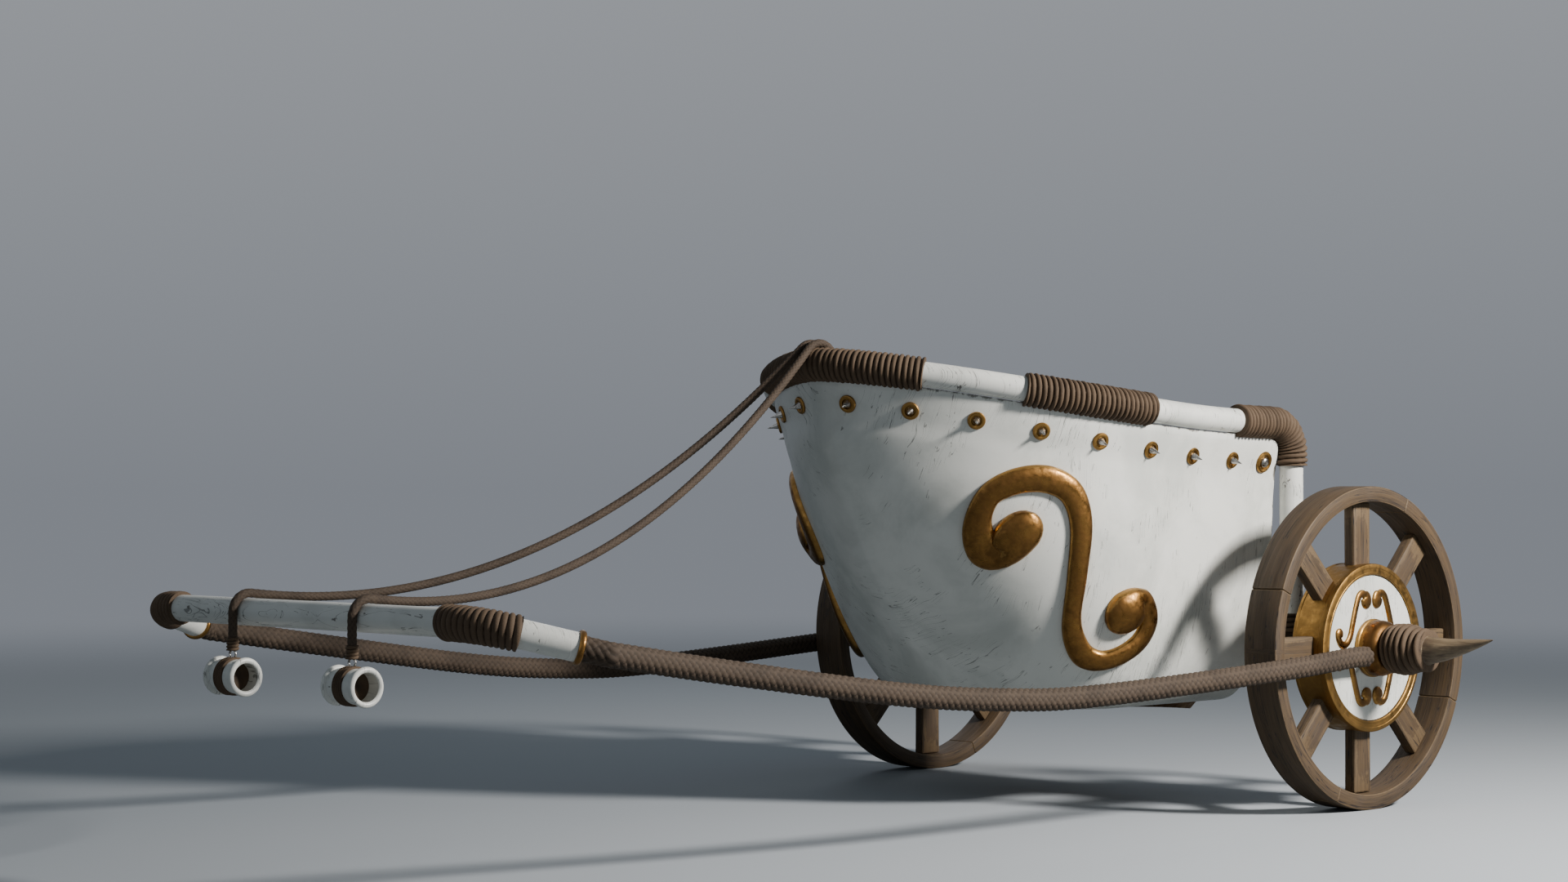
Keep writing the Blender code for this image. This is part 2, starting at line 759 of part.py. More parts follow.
def build_side_scroll(root, name, side):
    """The gilt scroll on one side of the tub."""
    sizes = (SCROLL_BIG_BALL, SCROLL_SMALL_BALL, SCROLL_WIDTH, SCROLL_HEIGHT, SCROLL_SEAT)

    def build(work):
        relief_scroll(work, SCROLL_PATH, sizes, lambda y, z: wall_frame(y, z, side), SCROLL_STEP)

    place(name, mesh_from(name, build), "gilt", root)


# Rail


def rail_path():
    """The rail's centre line from one axle end up, round the nose and down again."""
    foot = WHEEL_RADIUS + AXLE_BEAM / 2 + GAP
    half = []
    corner_z = rail_height(-RAIL_CORNER) - RAIL_CORNER
    half.append(Vector((RAIL_HALF_WIDTH, 0.0, foot)))
    half.append(Vector((RAIL_HALF_WIDTH, 0.0, (foot + WRAP_REAR_FOOT_Z) / 2)))
    half.append(Vector((RAIL_HALF_WIDTH, 0.0, WRAP_REAR_FOOT_Z)))
    for i in range(RAIL_CORNER_STEPS + 1):
        turn = math.pi / 2 * i / RAIL_CORNER_STEPS
        half.append(Vector((RAIL_HALF_WIDTH, -RAIL_CORNER * (1 - math.cos(turn)),
                            corner_z + RAIL_CORNER * math.sin(turn))))
    run = []
    long = TUB_NOSE - TUB_SHOULDER + TUB_FLARE
    for i in range(8):
        y = -RAIL_CORNER - (TUB_SHOULDER - RAIL_CORNER) * i / 7
        run.append(Vector((RAIL_HALF_WIDTH, y, rail_height(y))))
    for i in range(60, -1, -1):
        turn = math.pi / 2 * i / 60
        x = RAIL_HALF_WIDTH * math.sin(turn) ** (2 / TUB_PLAN_POWER_WIDE)
        y = -TUB_SHOULDER - long * math.cos(turn) ** (2 / TUB_PLAN_POWER_LONG)
        run.append(Vector((x, y, rail_height(y))))
    half += resampled(run, RAIL_STEP)[1:]
    return half + [Vector((-p.x, p.y, p.z)) for p in half[-2::-1]]


def rail_stretches(path):
    """First and last path points of each of the rail's wraps, as indexes, by name."""
    middle, last = len(path) // 2, len(path) - 1

    def nearest(place_y):
        return min(range(RAIL_CORNER_STEPS, middle), key=lambda i: abs(path[i].y - place_y))

    left = {"rear": (2, nearest(WRAP_REAR_END)),
            "middle": (nearest(WRAP_MIDDLE_START), nearest(WRAP_MIDDLE_END))}
    nose = nearest(WRAP_NOSE_DEPTH - TUB_NOSE)
    stretches = {"nose": (nose, last - nose)}
    for where, (low, high) in left.items():
        stretches[f"left_{where}"] = (low, high)
        stretches[f"right_{where}"] = (last - high, last - low)
    return stretches


def build_rail(root):
    """The bent rail, its five wraps and the lashings that tie its feet to the axle."""
    path = rail_path()
    frames = frames_along(path)
    place("rail", swept("rail", path, frames, RAIL_RADIUS, RAIL_SIDES), "enamel", root)
    last = len(path) - 1
    for where, (low, high) in rail_stretches(path).items():
        name = f"rail_wrap_{where}"
        wrap = swept(name, path[low:high + 1], frames[low:high + 1], RAIL_RADIUS + RAIL_CORD,
                     RAIL_SIDES, RAIL_RADIUS + GAP)
        place(name, wrap, "cord", root)
    for side, end, other in (("left", 0, 1), ("right", last, last - 1)):
        name = f"axle_lashing_{side}"
        foot = path[end]
        top = foot.lerp(path[other], LASHING_HEIGHT / (path[other] - foot).length)
        rings = [foot, top] if end == 0 else [top, foot]
        frame = frames[0] if end == 0 else frames[-1]
        lashing = swept(name, rings, [frame, frame], RAIL_RADIUS + LASHING_THICKNESS, RAIL_SIDES,
                        RAIL_RADIUS + GAP)
        place(name, lashing, "cord", root)


# Wheels


def wheel_ring(radius, x, angle):
    """A point of the wheel at a radius, a place across it and an angle from the front."""
    return Vector((x, -radius * math.cos(angle), radius * math.sin(angle)))


def felloe_mesh(index):
    """A quarter of the rim, its ends clear of the next ones."""
    half = RIM_WIDTH / 2
    c = RIM_CHAMFER
    section = ((RIM_INNER, -half + c), (RIM_INNER, half - c), (RIM_INNER + c, half),
               (WHEEL_RADIUS - c, half), (WHEEL_RADIUS, half - c), (WHEEL_RADIUS, -half + c),
               (WHEEL_RADIUS - c, -half), (RIM_INNER + c, -half))
    span = 2 * math.pi / FELLOE_COUNT
    first = span * (index + 1 / FELLOE_COUNT)

    def build(work):
        rings = []
        for i in range(FELLOE_STEPS + 1):
            angle = first + span * i / FELLOE_STEPS
            if i == 0:
                angle += GAP / RIM_INNER
            if i == FELLOE_STEPS:
                angle -= GAP / RIM_INNER
            rings.append([wheel_ring(radius, x, angle) for radius, x in section])
        skin_rings(work, rings)

    return mesh_from(f"felloe_{index}", build)


def bore_radius():
    """The nave's bore, whose flats clear the axle's corners as the wheel turns."""
    return (AXLE_ARM_RADIUS + RUNNING_GAP) / math.cos(math.pi / AXLE_SIDES)


def spoke_bar(index, clearance, length):
    """The end rings of the bar for one pair of opposite spokes, across the wheel's centre."""
    half_width = SPOKE_WIDTH / 2 + clearance
    half_thick = SPOKE_THICKNESS / 2 + clearance
    angle = 2 * math.pi * index / SPOKE_COUNT
    along = wheel_ring(1.0, 0.0, angle)
    across = wheel_ring(1.0, 0.0, angle + math.pi / 2)
    rings = []
    for end in (-length, length):
        ring = []
        for w, t in ((-1, -1), (1, -1), (1, 1), (-1, 1)):
            ring.append(along * end + across * (w * half_width) + Vector((t * half_thick, 0, 0)))
        rings.append(ring)
    return rings


def bar_object(index, clearance, length):
    """A helper bar for one pair of opposite spokes."""
    def build(work):
        skin_rings(work, spoke_bar(index, clearance, length))

    return loose(f"bar_{index}", mesh_from(f"bar_{index}", build))


def spoke_reach():
    """How far out the spokes end, just inside the felloes' facets."""
    flats = RIM_INNER * math.cos(math.pi / (FELLOE_COUNT * FELLOE_STEPS))
    return math.sqrt(flats ** 2 - (SPOKE_WIDTH / 2) ** 2) - GAP


def nave_mesh():
    """The wooden nave with its eight spokes and its bore."""
    rear = -RIM_WIDTH / 2 + NAVE_REAR_INSET
    front = RIM_WIDTH / 2 - DISC_RECESS - DISC_THICKNESS - GAP
    radius = HUB_RADIUS - HUB_WALL - GAP
    nave = loose("nave_blank", turned("nave", ((rear, radius), (front, radius)), HUB_SIDES))
    cuts = [("UNION", bar_object(i, 0.0, spoke_reach())) for i in range(SPOKE_COUNT // 2)]
    bore = turned("bore", ((-RIM_WIDTH, bore_radius()), (RIM_WIDTH, bore_radius())), AXLE_SIDES)
    cuts.append(("DIFFERENCE", loose("bore", bore)))
    return baked(nave, cuts)


def drum_mesh():
    """The gilt drum round the nave: a hoop with a lip in front and mortises for the spokes."""
    rear, front = -RIM_WIDTH / 2 + DRUM_REAR_INSET, RIM_WIDTH / 2
    step = front - DISC_RECESS - DISC_THICKNESS
    wall = HUB_RADIUS - HUB_WALL
    angles = [2 * math.pi * i / HUB_SIDES for i in range(HUB_SIDES)]
    profile = ((rear, HUB_RADIUS), (front - DRUM_CHAMFER, HUB_RADIUS), (front, HUB_RADIUS - DRUM_CHAMFER),
               (front, DISC_RADIUS), (step, DISC_RADIUS), (step, wall), (rear, wall))

    def build(work):
        rings = [[Vector((x, r * math.cos(a), r * math.sin(a))) for a in angles]
                 for x, r in profile]
        skin_rings(work, rings, closed=True)

    drum = loose("drum_blank", mesh_from("drum", build))
    bars = [("DIFFERENCE", bar_object(i, GAP, HUB_RADIUS * 1.2)) for i in range(SPOKE_COUNT // 2)]
    return baked(drum, bars)


def disc_scroll_mesh(flip_y, flip_z):
    """One of the four small scrolls on the disc."""
    face = RIM_WIDTH / 2 - DISC_RECESS

    def surface(forward, up):
        return Vector((face, -forward * flip_y, up * flip_z)), Vector((1, 0, 0))

    sizes = (DISC_SCROLL_BIG_BALL, DISC_SCROLL_SMALL_BALL, DISC_SCROLL_WIDTH, DISC_SCROLL_HEIGHT,
             GAP)

    def build(work):
        relief_scroll(work, DISC_SCROLL_PATH, sizes, surface, DISC_SCROLL_STEP)

    return mesh_from("disc_scroll", build)


def build_wheels(root):
    """Both wheels, from one set of meshes; the right one is turned about to face outwards."""
    face = RIM_WIDTH / 2 - DISC_RECESS
    disc = turned("disc", ((face - DISC_THICKNESS, DISC_RADIUS - GAP), (face, DISC_RADIUS - GAP)),
                  HUB_SIDES, bore_radius())
    felloes = [felloe_mesh(i) for i in range(FELLOE_COUNT)]
    nave, drum = nave_mesh(), drum_mesh()
    corners = (("upper_front", 1, 1), ("upper_rear", -1, 1), ("lower_front", 1, -1),
               ("lower_rear", -1, -1))
    scrolls = {where: disc_scroll_mesh(y, z) for where, y, z in corners}
    for side, x, turn in (("left", WHEEL_X, 0.0), ("right", -WHEEL_X, math.pi)):
        axis = pivot(f"wheel_{side}_axis", root, (x, 0.0, WHEEL_RADIUS), turn)
        for i, mesh in enumerate(felloes):
            place(f"wheel_{side}_felloe_{i + 1}", mesh, "oak", axis)
        place(f"wheel_{side}_spokes", nave, "oak", axis)
        place(f"wheel_{side}_drum", drum, "gilt", axis)
        place(f"wheel_{side}_disc", disc, "enamel", axis)
        for where, mesh in scrolls.items():
            place(f"wheel_{side}_scroll_{where}", mesh, "gilt", axis)


# Axle and its ends


def end_wrap_length():
    """Length of the wrapped stretch outside each boss."""
    return END_WRAP_PITCH * END_WRAP_LOOPS + END_WRAP_CORD


def end_core_radius(share):
    """Radius of the core under the wrap, which swells a third of the way out."""
    swell = END_CORE_SWELL * math.sin(math.pi * min(share * 1.25, 1.0))
    return END_CORE_RADIUS + swell - END_CORE_TAPER * share


def end_wrap_points():
    """The cord's windings round the core, beyond the boss."""
    start = BOSS_START + BOSS_LENGTH + GAP * 2 + END_WRAP_CORD / 2
    total = END_WRAP_LOOPS * LOOP_POINTS
    points = []
    for i in range(total + 1):
        share = i / total
        along = share * END_WRAP_PITCH * END_WRAP_LOOPS
        core = end_core_radius((along + END_WRAP_CORD / 2) / end_wrap_length())
        radius = (core + END_WRAP_CORD / 2 + END_WRAP_SEAT) / math.cos(math.pi / LOOP_POINTS)
        angle = 2 * math.pi * share * END_WRAP_LOOPS
        points.append(Vector((start + along, radius * math.cos(angle), radius * math.sin(angle))))
    return points


def horn_mesh():
    """The spiked end: a core for the wrap and a spike that bends up."""
    start = BOSS_START + BOSS_LENGTH + GAP
    core_steps, horn_steps, sides = 5, 6, 10

    def build(work):
        rings = []
        for i in range(core_steps + 1):
            share = i / core_steps
            rings.append((start + share * end_wrap_length(), 0.0, end_core_radius(share)))
        tip = start + end_wrap_length()
        for i in range(horn_steps + 1):
            share = i / horn_steps
            radius = HORN_BASE_RADIUS * (1 - share) ** 0.85 + HORN_TIP_RADIUS
            rings.append((tip + HORN_STEP + HORN_LENGTH * share, HORN_LIFT * share ** 1.4, radius))
        made = []
        for x, lift, radius in rings:
            angles = [2 * math.pi * i / sides for i in range(sides)]
            made.append([(x, radius * math.cos(a), lift + radius * math.sin(a)) for a in angles])
        skin_rings(work, made)

    return mesh_from("horn", build)


def least_turn_gap(points, per_loop, thickness):
    """Least gap between a winding's turns, measured between its points a turn apart."""
    least = 1.0
    for i in range(len(points) - per_loop + 2):
        for j in range(i + per_loop - 2, min(i + per_loop + 3, len(points) - 1)):
            a, b = points[j], points[j + 1]
            run = b - a
            part = min(max((points[i] - a).dot(run) / run.length_squared, 0.0), 1.0)
            least = min(least, (points[i] - a - run * part).length - thickness)
    return least


def build_axle(root):
    """The axle, and at each end a boss, a wrapped core and a spike."""
    beam_half = WHEEL_X - RIM_WIDTH / 2 + NAVE_REAR_INSET - RUNNING_GAP
    half = AXLE_BEAM / 2
    beam = loose("beam_blank", box_mesh("beam", (-beam_half, -half, -half), (beam_half, half, half)))
    reach = WHEEL_X + BOSS_START + BOSS_LENGTH
    arms = turned("arms", ((-reach, AXLE_ARM_RADIUS), (reach, AXLE_ARM_RADIUS)), AXLE_SIDES)
    centre = pivot("axle_line", root, (0.0, 0.0, WHEEL_RADIUS))
    place("axle", baked(beam, [("UNION", loose("arms", arms))]), "oak", centre)
    out = BOSS_START + BOSS_LENGTH
    steps = [(out - BOSS_ROUNDING * (1 - math.sin(t)), BOSS_RADIUS - BOSS_ROUNDING * (1 - math.cos(t)))
             for t in (0.0, 0.6, 1.2)]
    profile = ((BOSS_START, BOSS_RADIUS), *steps, (out, BOSS_RADIUS - BOSS_ROUNDING))
    boss = turned("boss", profile, AXLE_SIDES, AXLE_ARM_RADIUS + GAP)
    wrap = tube("end_wrap", end_wrap_points(), END_WRAP_CORD / 2, 1)
    gap = least_turn_gap(end_wrap_points(), LOOP_POINTS, END_WRAP_CORD)
    print(f"axle wrap: {END_WRAP_LOOPS} loops, least gap {gap * 1000:.2f} mm")
    horn = horn_mesh()
    for side, x, turn in (("left", WHEEL_X, 0.0), ("right", -WHEEL_X, math.pi)):
        end = pivot(f"axle_end_{side}", root, (x, 0.0, WHEEL_RADIUS), turn)
        place(f"boss_{side}", boss, "gilt", end)
        place(f"axle_wrap_{side}", wrap, "cord", end)
        place(f"horn_{side}", horn, "horn", end)


# Shafts and yoke


def yoke_half(steps):
    """The middle of the yoke's bar, the curve of its left bend and its left end."""
    bar = Vector((1.0, 0.0, 0.0))
    bend = Vector((YOKE_BEND_X, -YOKE_BAR_Y, YOKE_BAR_Z))
    end = Vector((YOKE_END_X, -YOKE_END_Y, YOKE_END_Z))
    arm = (end - bend).normalized()
    angle = bar.angle(arm)
    cut = YOKE_BEND_RADIUS * math.tan(angle / 2)
    first = bend - bar * cut
    inward = (arm - bar * arm.dot(bar)).normalized()
    centre = first + inward * YOKE_BEND_RADIUS
    curve = []
    for i in range(steps + 1):
        turn = angle * i / steps
        curve.append(centre + (bar * math.sin(turn) - inward * math.cos(turn)) * YOKE_BEND_RADIUS)
    return Vector((0.0, -YOKE_BAR_Y, YOKE_BAR_Z)), curve, end


def wrap_round(path, loops, pitch, radius):
    """Windings round a curved bar, centred on the middle of its path."""
    total = length_of(path)
    start = (total - loops * pitch) / 2
    fine = resampled(path, 0.0015)
    frames = frames_along(fine)
    step = total / (len(fine) - 1)
    points = []
    count = loops * LOOP_POINTS
    for i in range(count + 1):
        along = start + pitch * loops * i / count
        k = min(int(along / step), len(fine) - 2)
        here = fine[k].lerp(fine[k + 1], along / step - k)
        _, side, up = frames[k]
        angle = 2 * math.pi * loops * i / count
        points.append(here + (side * math.cos(angle) + up * math.sin(angle)) * radius)
    return points


def build_yoke(root):
    """The yoke bar with its wraps and end rings."""
    middle, curve, end = yoke_half(YOKE_BEND_STEPS)
    half = curve + [end]
    whole = [Vector((-p.x, p.y, p.z)) for p in half[::-1]] + [middle] + half
    frames = frames_along(whole)
    place("yoke", swept("yoke", whole, frames, YOKE_RADIUS, YOKE_SIDES), "enamel", root)
    cord = YOKE_WRAP_CORD / 2
    radius = (YOKE_RADIUS + cord + YOKE_WRAP_SEAT) / math.cos(math.pi / LOOP_POINTS)
    fine = yoke_half(YOKE_WRAP_BEND_STEPS)[1]
    bend = [middle.lerp(fine[0], 0.8)] + fine + [fine[-1].lerp(end, 0.6)]
    points = wrap_round(bend, YOKE_WRAP_LOOPS, YOKE_WRAP_PITCH, radius)
    gap = least_turn_gap(points, LOOP_POINTS, YOKE_WRAP_CORD)
    print(f"yoke wrap: {YOKE_WRAP_LOOPS} loops, least gap {gap * 1000:.2f} mm")
    back = (curve[-1] - end).normalized()
    for side, flip in (("left", 1), ("right", -1)):
        turns = [Vector((p.x * flip, p.y, p.z)) for p in points]
        place(f"yoke_wrap_{side}", tube("yoke_wrap", turns, cord, 1), "cord", root)
        k = -1 if flip == 1 else 0
        tip = Vector((end.x * flip, end.y, end.z))
        inner = Vector((back.x * flip, back.y, back.z)) * YOKE_RING_LENGTH
        ends = [tip + inner, tip] if flip == 1 else [tip, tip + inner]
        ring = swept("yoke_ring", ends, [frames[k], frames[k]], YOKE_RADIUS + YOKE_RING_THICKNESS,
                     YOKE_SIDES, YOKE_RADIUS + GAP)
        place(f"yoke_ring_{side}", ring, "gilt", root)


def shaft_points():
    """The left shaft's centre line, from the boss to the yoke's end."""
    start_x = WHEEL_FACE_X + SHAFT_FACE_CLEARANCE + SHAFT_RADIUS
    start_y = -(BOSS_RADIUS + GAP)
    head = Vector((start_x, start_y, SHAFT_START_Z))
    knots = [head - Vector((0.0, SHAFT_TAIL, 0.0))]
    end = Vector((YOKE_END_X, -YOKE_END_Y, YOKE_END_Z))
    arm = (Vector((YOKE_BEND_X, -YOKE_BAR_Y, YOKE_BAR_Z)) - end).normalized()
    first = SHAFT_ROUTE[0][0]
    for y, z in SHAFT_ROUTE:
        share = (y - first) / (end.y - first)
        knots.append(Vector((start_x + (end.x - start_x) * share, y, z)))
    knots.append(end - arm * SHAFT_TAIL)
    return [head] + resampled(smooth_through(knots), SHAFT_STEP) + [end - arm * GAP]


def build_shafts(root):
    """The two roped shafts from the axle's bosses to the yoke's ends."""
    points = shaft_points()
    for side, flip in (("left", 1), ("right", -1)):
        route = [Vector((p.x * flip, p.y, p.z)) for p in points]
        place(f"shaft_{side}", tube("shaft", route, SHAFT_RADIUS, 2), "rope", root)
    print(f"shafts: {length_of(points):.3f} m each")


# Reins


def cuff_place():
    """Centre of the left cuff, hanging in front of the yoke's bar."""
    y = -YOKE_BAR_Y - YOKE_RADIUS - REIN_RADIUS - REIN_SEAT
    return Vector((REIN_SPREAD_AT_YOKE, y, YOKE_BAR_Z - CUFF_HANG))


def around(centre, x, radius, first, last):
    """Points of an arc over a bar that runs across, between two angles from the rear."""
    steps = math.ceil(abs(last - first) / REIN_TURN)
    turns = [first + (last - first) * i / steps for i in range(steps + 1)]
    return [Vector((x, centre[0] + radius * math.cos(t), centre[1] + radius * math.sin(t)))
            for t in turns]


def rein_route():
    """The left rein's centre line: up from its binding, over rail and yoke, down to its cuff."""
    path = rail_path()
    nose, beside = path[len(path) // 2], path[len(path) // 2 - 1]
    rail = nose.lerp(beside, REIN_SPREAD_AT_RAIL / beside.x).yz
    bar = (-YOKE_BAR_Y, YOKE_BAR_Z)
    ride = RAIL_RADIUS + RAIL_CORD + REIN_RADIUS + REIN_SEAT
    bar_ride = YOKE_RADIUS + REIN_RADIUS + REIN_SEAT
    near, far = REIN_SPREAD_AT_RAIL, REIN_SPREAD_AT_YOKE
    leave, meet = math.pi / 2, math.pi / 2
    for _ in range(REIN_FITTINGS):
        start = around(rail, near, ride, 0.0, leave)[-1]
        stop = around(bar, far, bar_ride, meet, math.pi)[0]
        run = stop - start
        leave = math.atan2(-run.y, run.z - 4 * REIN_SAG)
        meet = math.atan2(-run.y, run.z + 4 * REIN_SAG)
    first = binding_top()
    route = [Vector((near, first.y, first.z)), Vector((near, *(first - binding_axis() * REIN_RISE).yz))]
    route += around(rail, near, ride, REIN_MEETS_RAIL, leave)
    for i in range(1, REIN_SAG_STEPS):
        share = i / REIN_SAG_STEPS
        point = start.lerp(stop, share)
        point.z -= 4 * REIN_SAG * share * (1 - share)
        route.append(point)
    route += around(bar, far, bar_ride, meet, math.pi)
    cuff = cuff_place()
    route.append(Vector((far, cuff.y, cuff.z + CUFF_RADIUS + CUFF_STUB + GAP)))
    return route


def binding_top():
    """Top of the binding, which hangs against the inside of the tub's nose."""
    return Vector((0.0, -(TUB_NOSE - BINDING_FROM_NOSE), BINDING_TOP_Z))


def binding_axis():
    """Direction in which the binding and the hand loop hang, along the sloping wall."""
    return Vector((0.0, BINDING_SLOPE, -1.0)).normalized()


def build_reins(root):
    """The reins: two ropes, their binding, hand loop and grip, and a cuff on each."""
    left = rein_route()
    print(f"reins: {length_of(left):.3f} m each")
    for side, flip in (("left", 1), ("right", -1)):
        route = [Vector((p.x * flip, p.y, p.z)) for p in left]
        place(f"rein_{side}", tube("rein", route, REIN_RADIUS, 2), "rope", root)
    top, axis = binding_top(), binding_axis()
    frames = frames_along([top, top + axis])
    stations = [(GAP, BINDING_WIDE_RADIUS), (BINDING_LENGTH, BINDING_NARROW_RADIUS)]

    def build_binding(work):
        skin_rings(work, [ring_about(top + axis * s, frames[0], r, 12) for s, r in stations])

    place("rein_binding", mesh_from("rein_binding", build_binding), "cord", root)
    loop, grip = hand_loop_points()
    place("rein_hand_loop", tube("hand_loop", loop, HAND_LOOP_RADIUS, 2), "rope", root)
    sleeve = swept("rein_grip", grip, frames_along(grip), HAND_LOOP_RADIUS + GRIP_THICKNESS, 12,
                   HAND_LOOP_RADIUS + 3 * GAP)
    place("rein_grip", sleeve, "hide", root)
    cuff = cuff_mesh()
    for side, flip in (("left", 1), ("right", -1)):
        hang = pivot(f"cuff_{side}_hang", root, cuff_place())
        hang.location.x *= flip
        place(f"cuff_{side}", cuff, "enamel", hang)


def rounded(knots, radius):
    """The path through the knots with its corners turned as arcs and its two end runs straight."""
    path = [knots[0]]
    for before, corner, after in zip(knots, knots[1:], knots[2:]):
        inward, outward = (before - corner).normalized(), (after - corner).normalized()
        half = inward.angle(outward) / 2
        reach = radius / math.tan(half)
        centre = corner + (inward + outward).normalized() * (radius / math.sin(half))
        first = (corner + inward * reach - centre).normalized()
        last = (corner + outward * reach - centre).normalized()
        steps = max(2, math.ceil((math.pi - 2 * half) / (2 * REIN_TURN)))
        path += [centre + first.slerp(last, i / steps) * radius for i in range(steps + 1)]
    return path + [knots[-1]]


def hand_loop_points():
    """The hand loop below the binding, and the middle of its foot, which the grip covers."""
    axis = binding_axis()
    start = binding_top() + axis * (BINDING_LENGTH + GAP)
    foot = start + axis * HAND_LOOP_LENGTH
    across = Vector((1.0, 0.0, 0.0))
    half, root = HAND_LOOP_WIDTH / 2, HAND_LOOP_RADIUS + 2 * GAP
    right = [start + across * root, start + across * root + axis * HAND_LOOP_NECK,
             start + across * half + axis * (HAND_LOOP_NECK + half), foot + across * half]
    knots = right + [Vector((-p.x, p.y, p.z)) for p in right[::-1]]
    grip = [foot + across * (side * GRIP_LENGTH / 2) for side in (1, -1)]
    return rounded(knots, HAND_LOOP_BEND), grip


def cuff_mesh():
    """A sleeve with rolled rims and a ring stub on top."""
    bead = CUFF_RIM_RADIUS
    profile = []
    for end in (-1, 1):
        centre = end * (CUFF_LENGTH / 2 - bead)
        angles = (-1.2, -0.4, 0.4, 1.2) if end == 1 else (1.2, 0.4, -0.4, -1.2)
        part = [(centre + end * bead * math.cos(t), CUFF_RADIUS + bead * math.sin(t) * end * 1.0)
                for t in angles]
        profile += part
    low = [(x, r) for x, r in sorted(profile) if x < 0]
    low = sorted(low, key=lambda p: p[1])
    body = [(-CUFF_LENGTH / 2 + 2 * bead, CUFF_RADIUS)]
    rim = low + body
    rim += [(-x, r) for x, r in rim[::-1]]
    sleeve = loose("cuff_blank", turned("cuff", rim, CUFF_SIDES, CUFF_RADIUS - CUFF_WALL))
    half, thick = CUFF_STUB_WIDTH / 2, CUFF_STUB_THICKNESS / 2
    stub = loose("stub", box_mesh("stub", (-half, -thick, CUFF_RADIUS - CUFF_WALL / 2),
                                  (half, thick, CUFF_RADIUS + CUFF_STUB)))
    return baked(sleeve, [("UNION", stub)])


def main():
    """Build the chariot."""
    clear_scene()
    root = pivot("chariot", None, (0.0, AXLE_Y, 0.0))
    build_shell(root)
    build_floor(root)
    build_rail(root)
    for side, flip in (("left", 1), ("right", -1)):
        build_stud_band(root, f"stud_band_{side}", flip)
        build_side_scroll(root, f"scroll_{side}", flip)
    build_wheels(root)
    build_axle(root)
    build_yoke(root)
    build_shafts(root)
    build_reins(root)


main()
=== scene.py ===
"""Looks of a two-wheeled chariot: worn white tub, roped shafts, wrapped rail, spoked wheels and reins.

Metres, +Z up, the chariot faces -Y and its left side is +X. Pieces are modelled with places along
the chariot measured from the axle line, as in the part's source, and set into the frame at the end.
"""
import sys

import logging
import math
from contextlib import contextmanager
from dataclasses import dataclass
from enum import Enum
from typing import Callable, Iterable, Iterator, Mapping, NamedTuple, Sequence

import bmesh
import bpy
import numpy as np
from mathutils import Matrix, Vector


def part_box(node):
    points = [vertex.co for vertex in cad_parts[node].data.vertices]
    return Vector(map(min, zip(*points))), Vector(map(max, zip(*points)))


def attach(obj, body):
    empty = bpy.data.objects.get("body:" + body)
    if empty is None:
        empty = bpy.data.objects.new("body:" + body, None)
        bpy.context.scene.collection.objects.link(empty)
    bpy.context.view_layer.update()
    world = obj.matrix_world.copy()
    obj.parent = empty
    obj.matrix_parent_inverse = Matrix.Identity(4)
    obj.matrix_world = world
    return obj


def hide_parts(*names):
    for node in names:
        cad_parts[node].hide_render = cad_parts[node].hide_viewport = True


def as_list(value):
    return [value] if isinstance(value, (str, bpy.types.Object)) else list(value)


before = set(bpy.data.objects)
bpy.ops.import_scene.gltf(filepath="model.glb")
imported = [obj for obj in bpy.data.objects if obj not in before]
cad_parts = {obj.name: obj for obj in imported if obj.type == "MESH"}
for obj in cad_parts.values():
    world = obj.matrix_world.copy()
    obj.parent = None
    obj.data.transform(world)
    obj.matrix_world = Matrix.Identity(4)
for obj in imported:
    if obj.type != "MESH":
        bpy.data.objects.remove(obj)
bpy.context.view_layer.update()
LOG = logging.getLogger("chariot")

AXLE_LOW, AXLE_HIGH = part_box("axle")
AXLE_Y = (AXLE_LOW[1] + AXLE_HIGH[1]) / 2
TAU = 2 * math.pi
QUARTER = math.pi / 2
Z_AXIS = Vector((0.0, 0.0, 1.0))
WELD = 1e-6
TURNED_WELD = 2e-5
TOUCH = 0.0003
BAR_SIDES = 40
MIX_FACTOR, MIX_LOW, MIX_HIGH, MIX_COLOUR = 0, 6, 7, 2
Triple = tuple[float, float, float]
Profile = Sequence[tuple[float, float]]
Surface = Callable[[float, float], tuple[Vector, Vector]]
Socket = bpy.types.NodeSocket
Sockets = Mapping[str, bpy.types.NodeSocket]


class Side(Enum):
    """The two sides of the chariot, as the sign of X."""

    LEFT = 1
    RIGHT = -1

    @property
    def word(self) -> str:
        """The side's name in node names."""
        return self.name.lower()

    @property
    def flip(self) -> np.ndarray:
        """Factors that carry points of the left side over to this one."""
        return np.array((float(self.value), 1.0, 1.0))

    def seat(self, x: float, z: float) -> Matrix:
        """Place at the end of the axle for a piece built round X; the right one is turned about Z."""
        turn = Matrix.Rotation(math.pi if self is Side.RIGHT else 0.0, 4, "Z")
        return Matrix.Translation((x * self.value, 0.0, z)) @ turn


# Materials


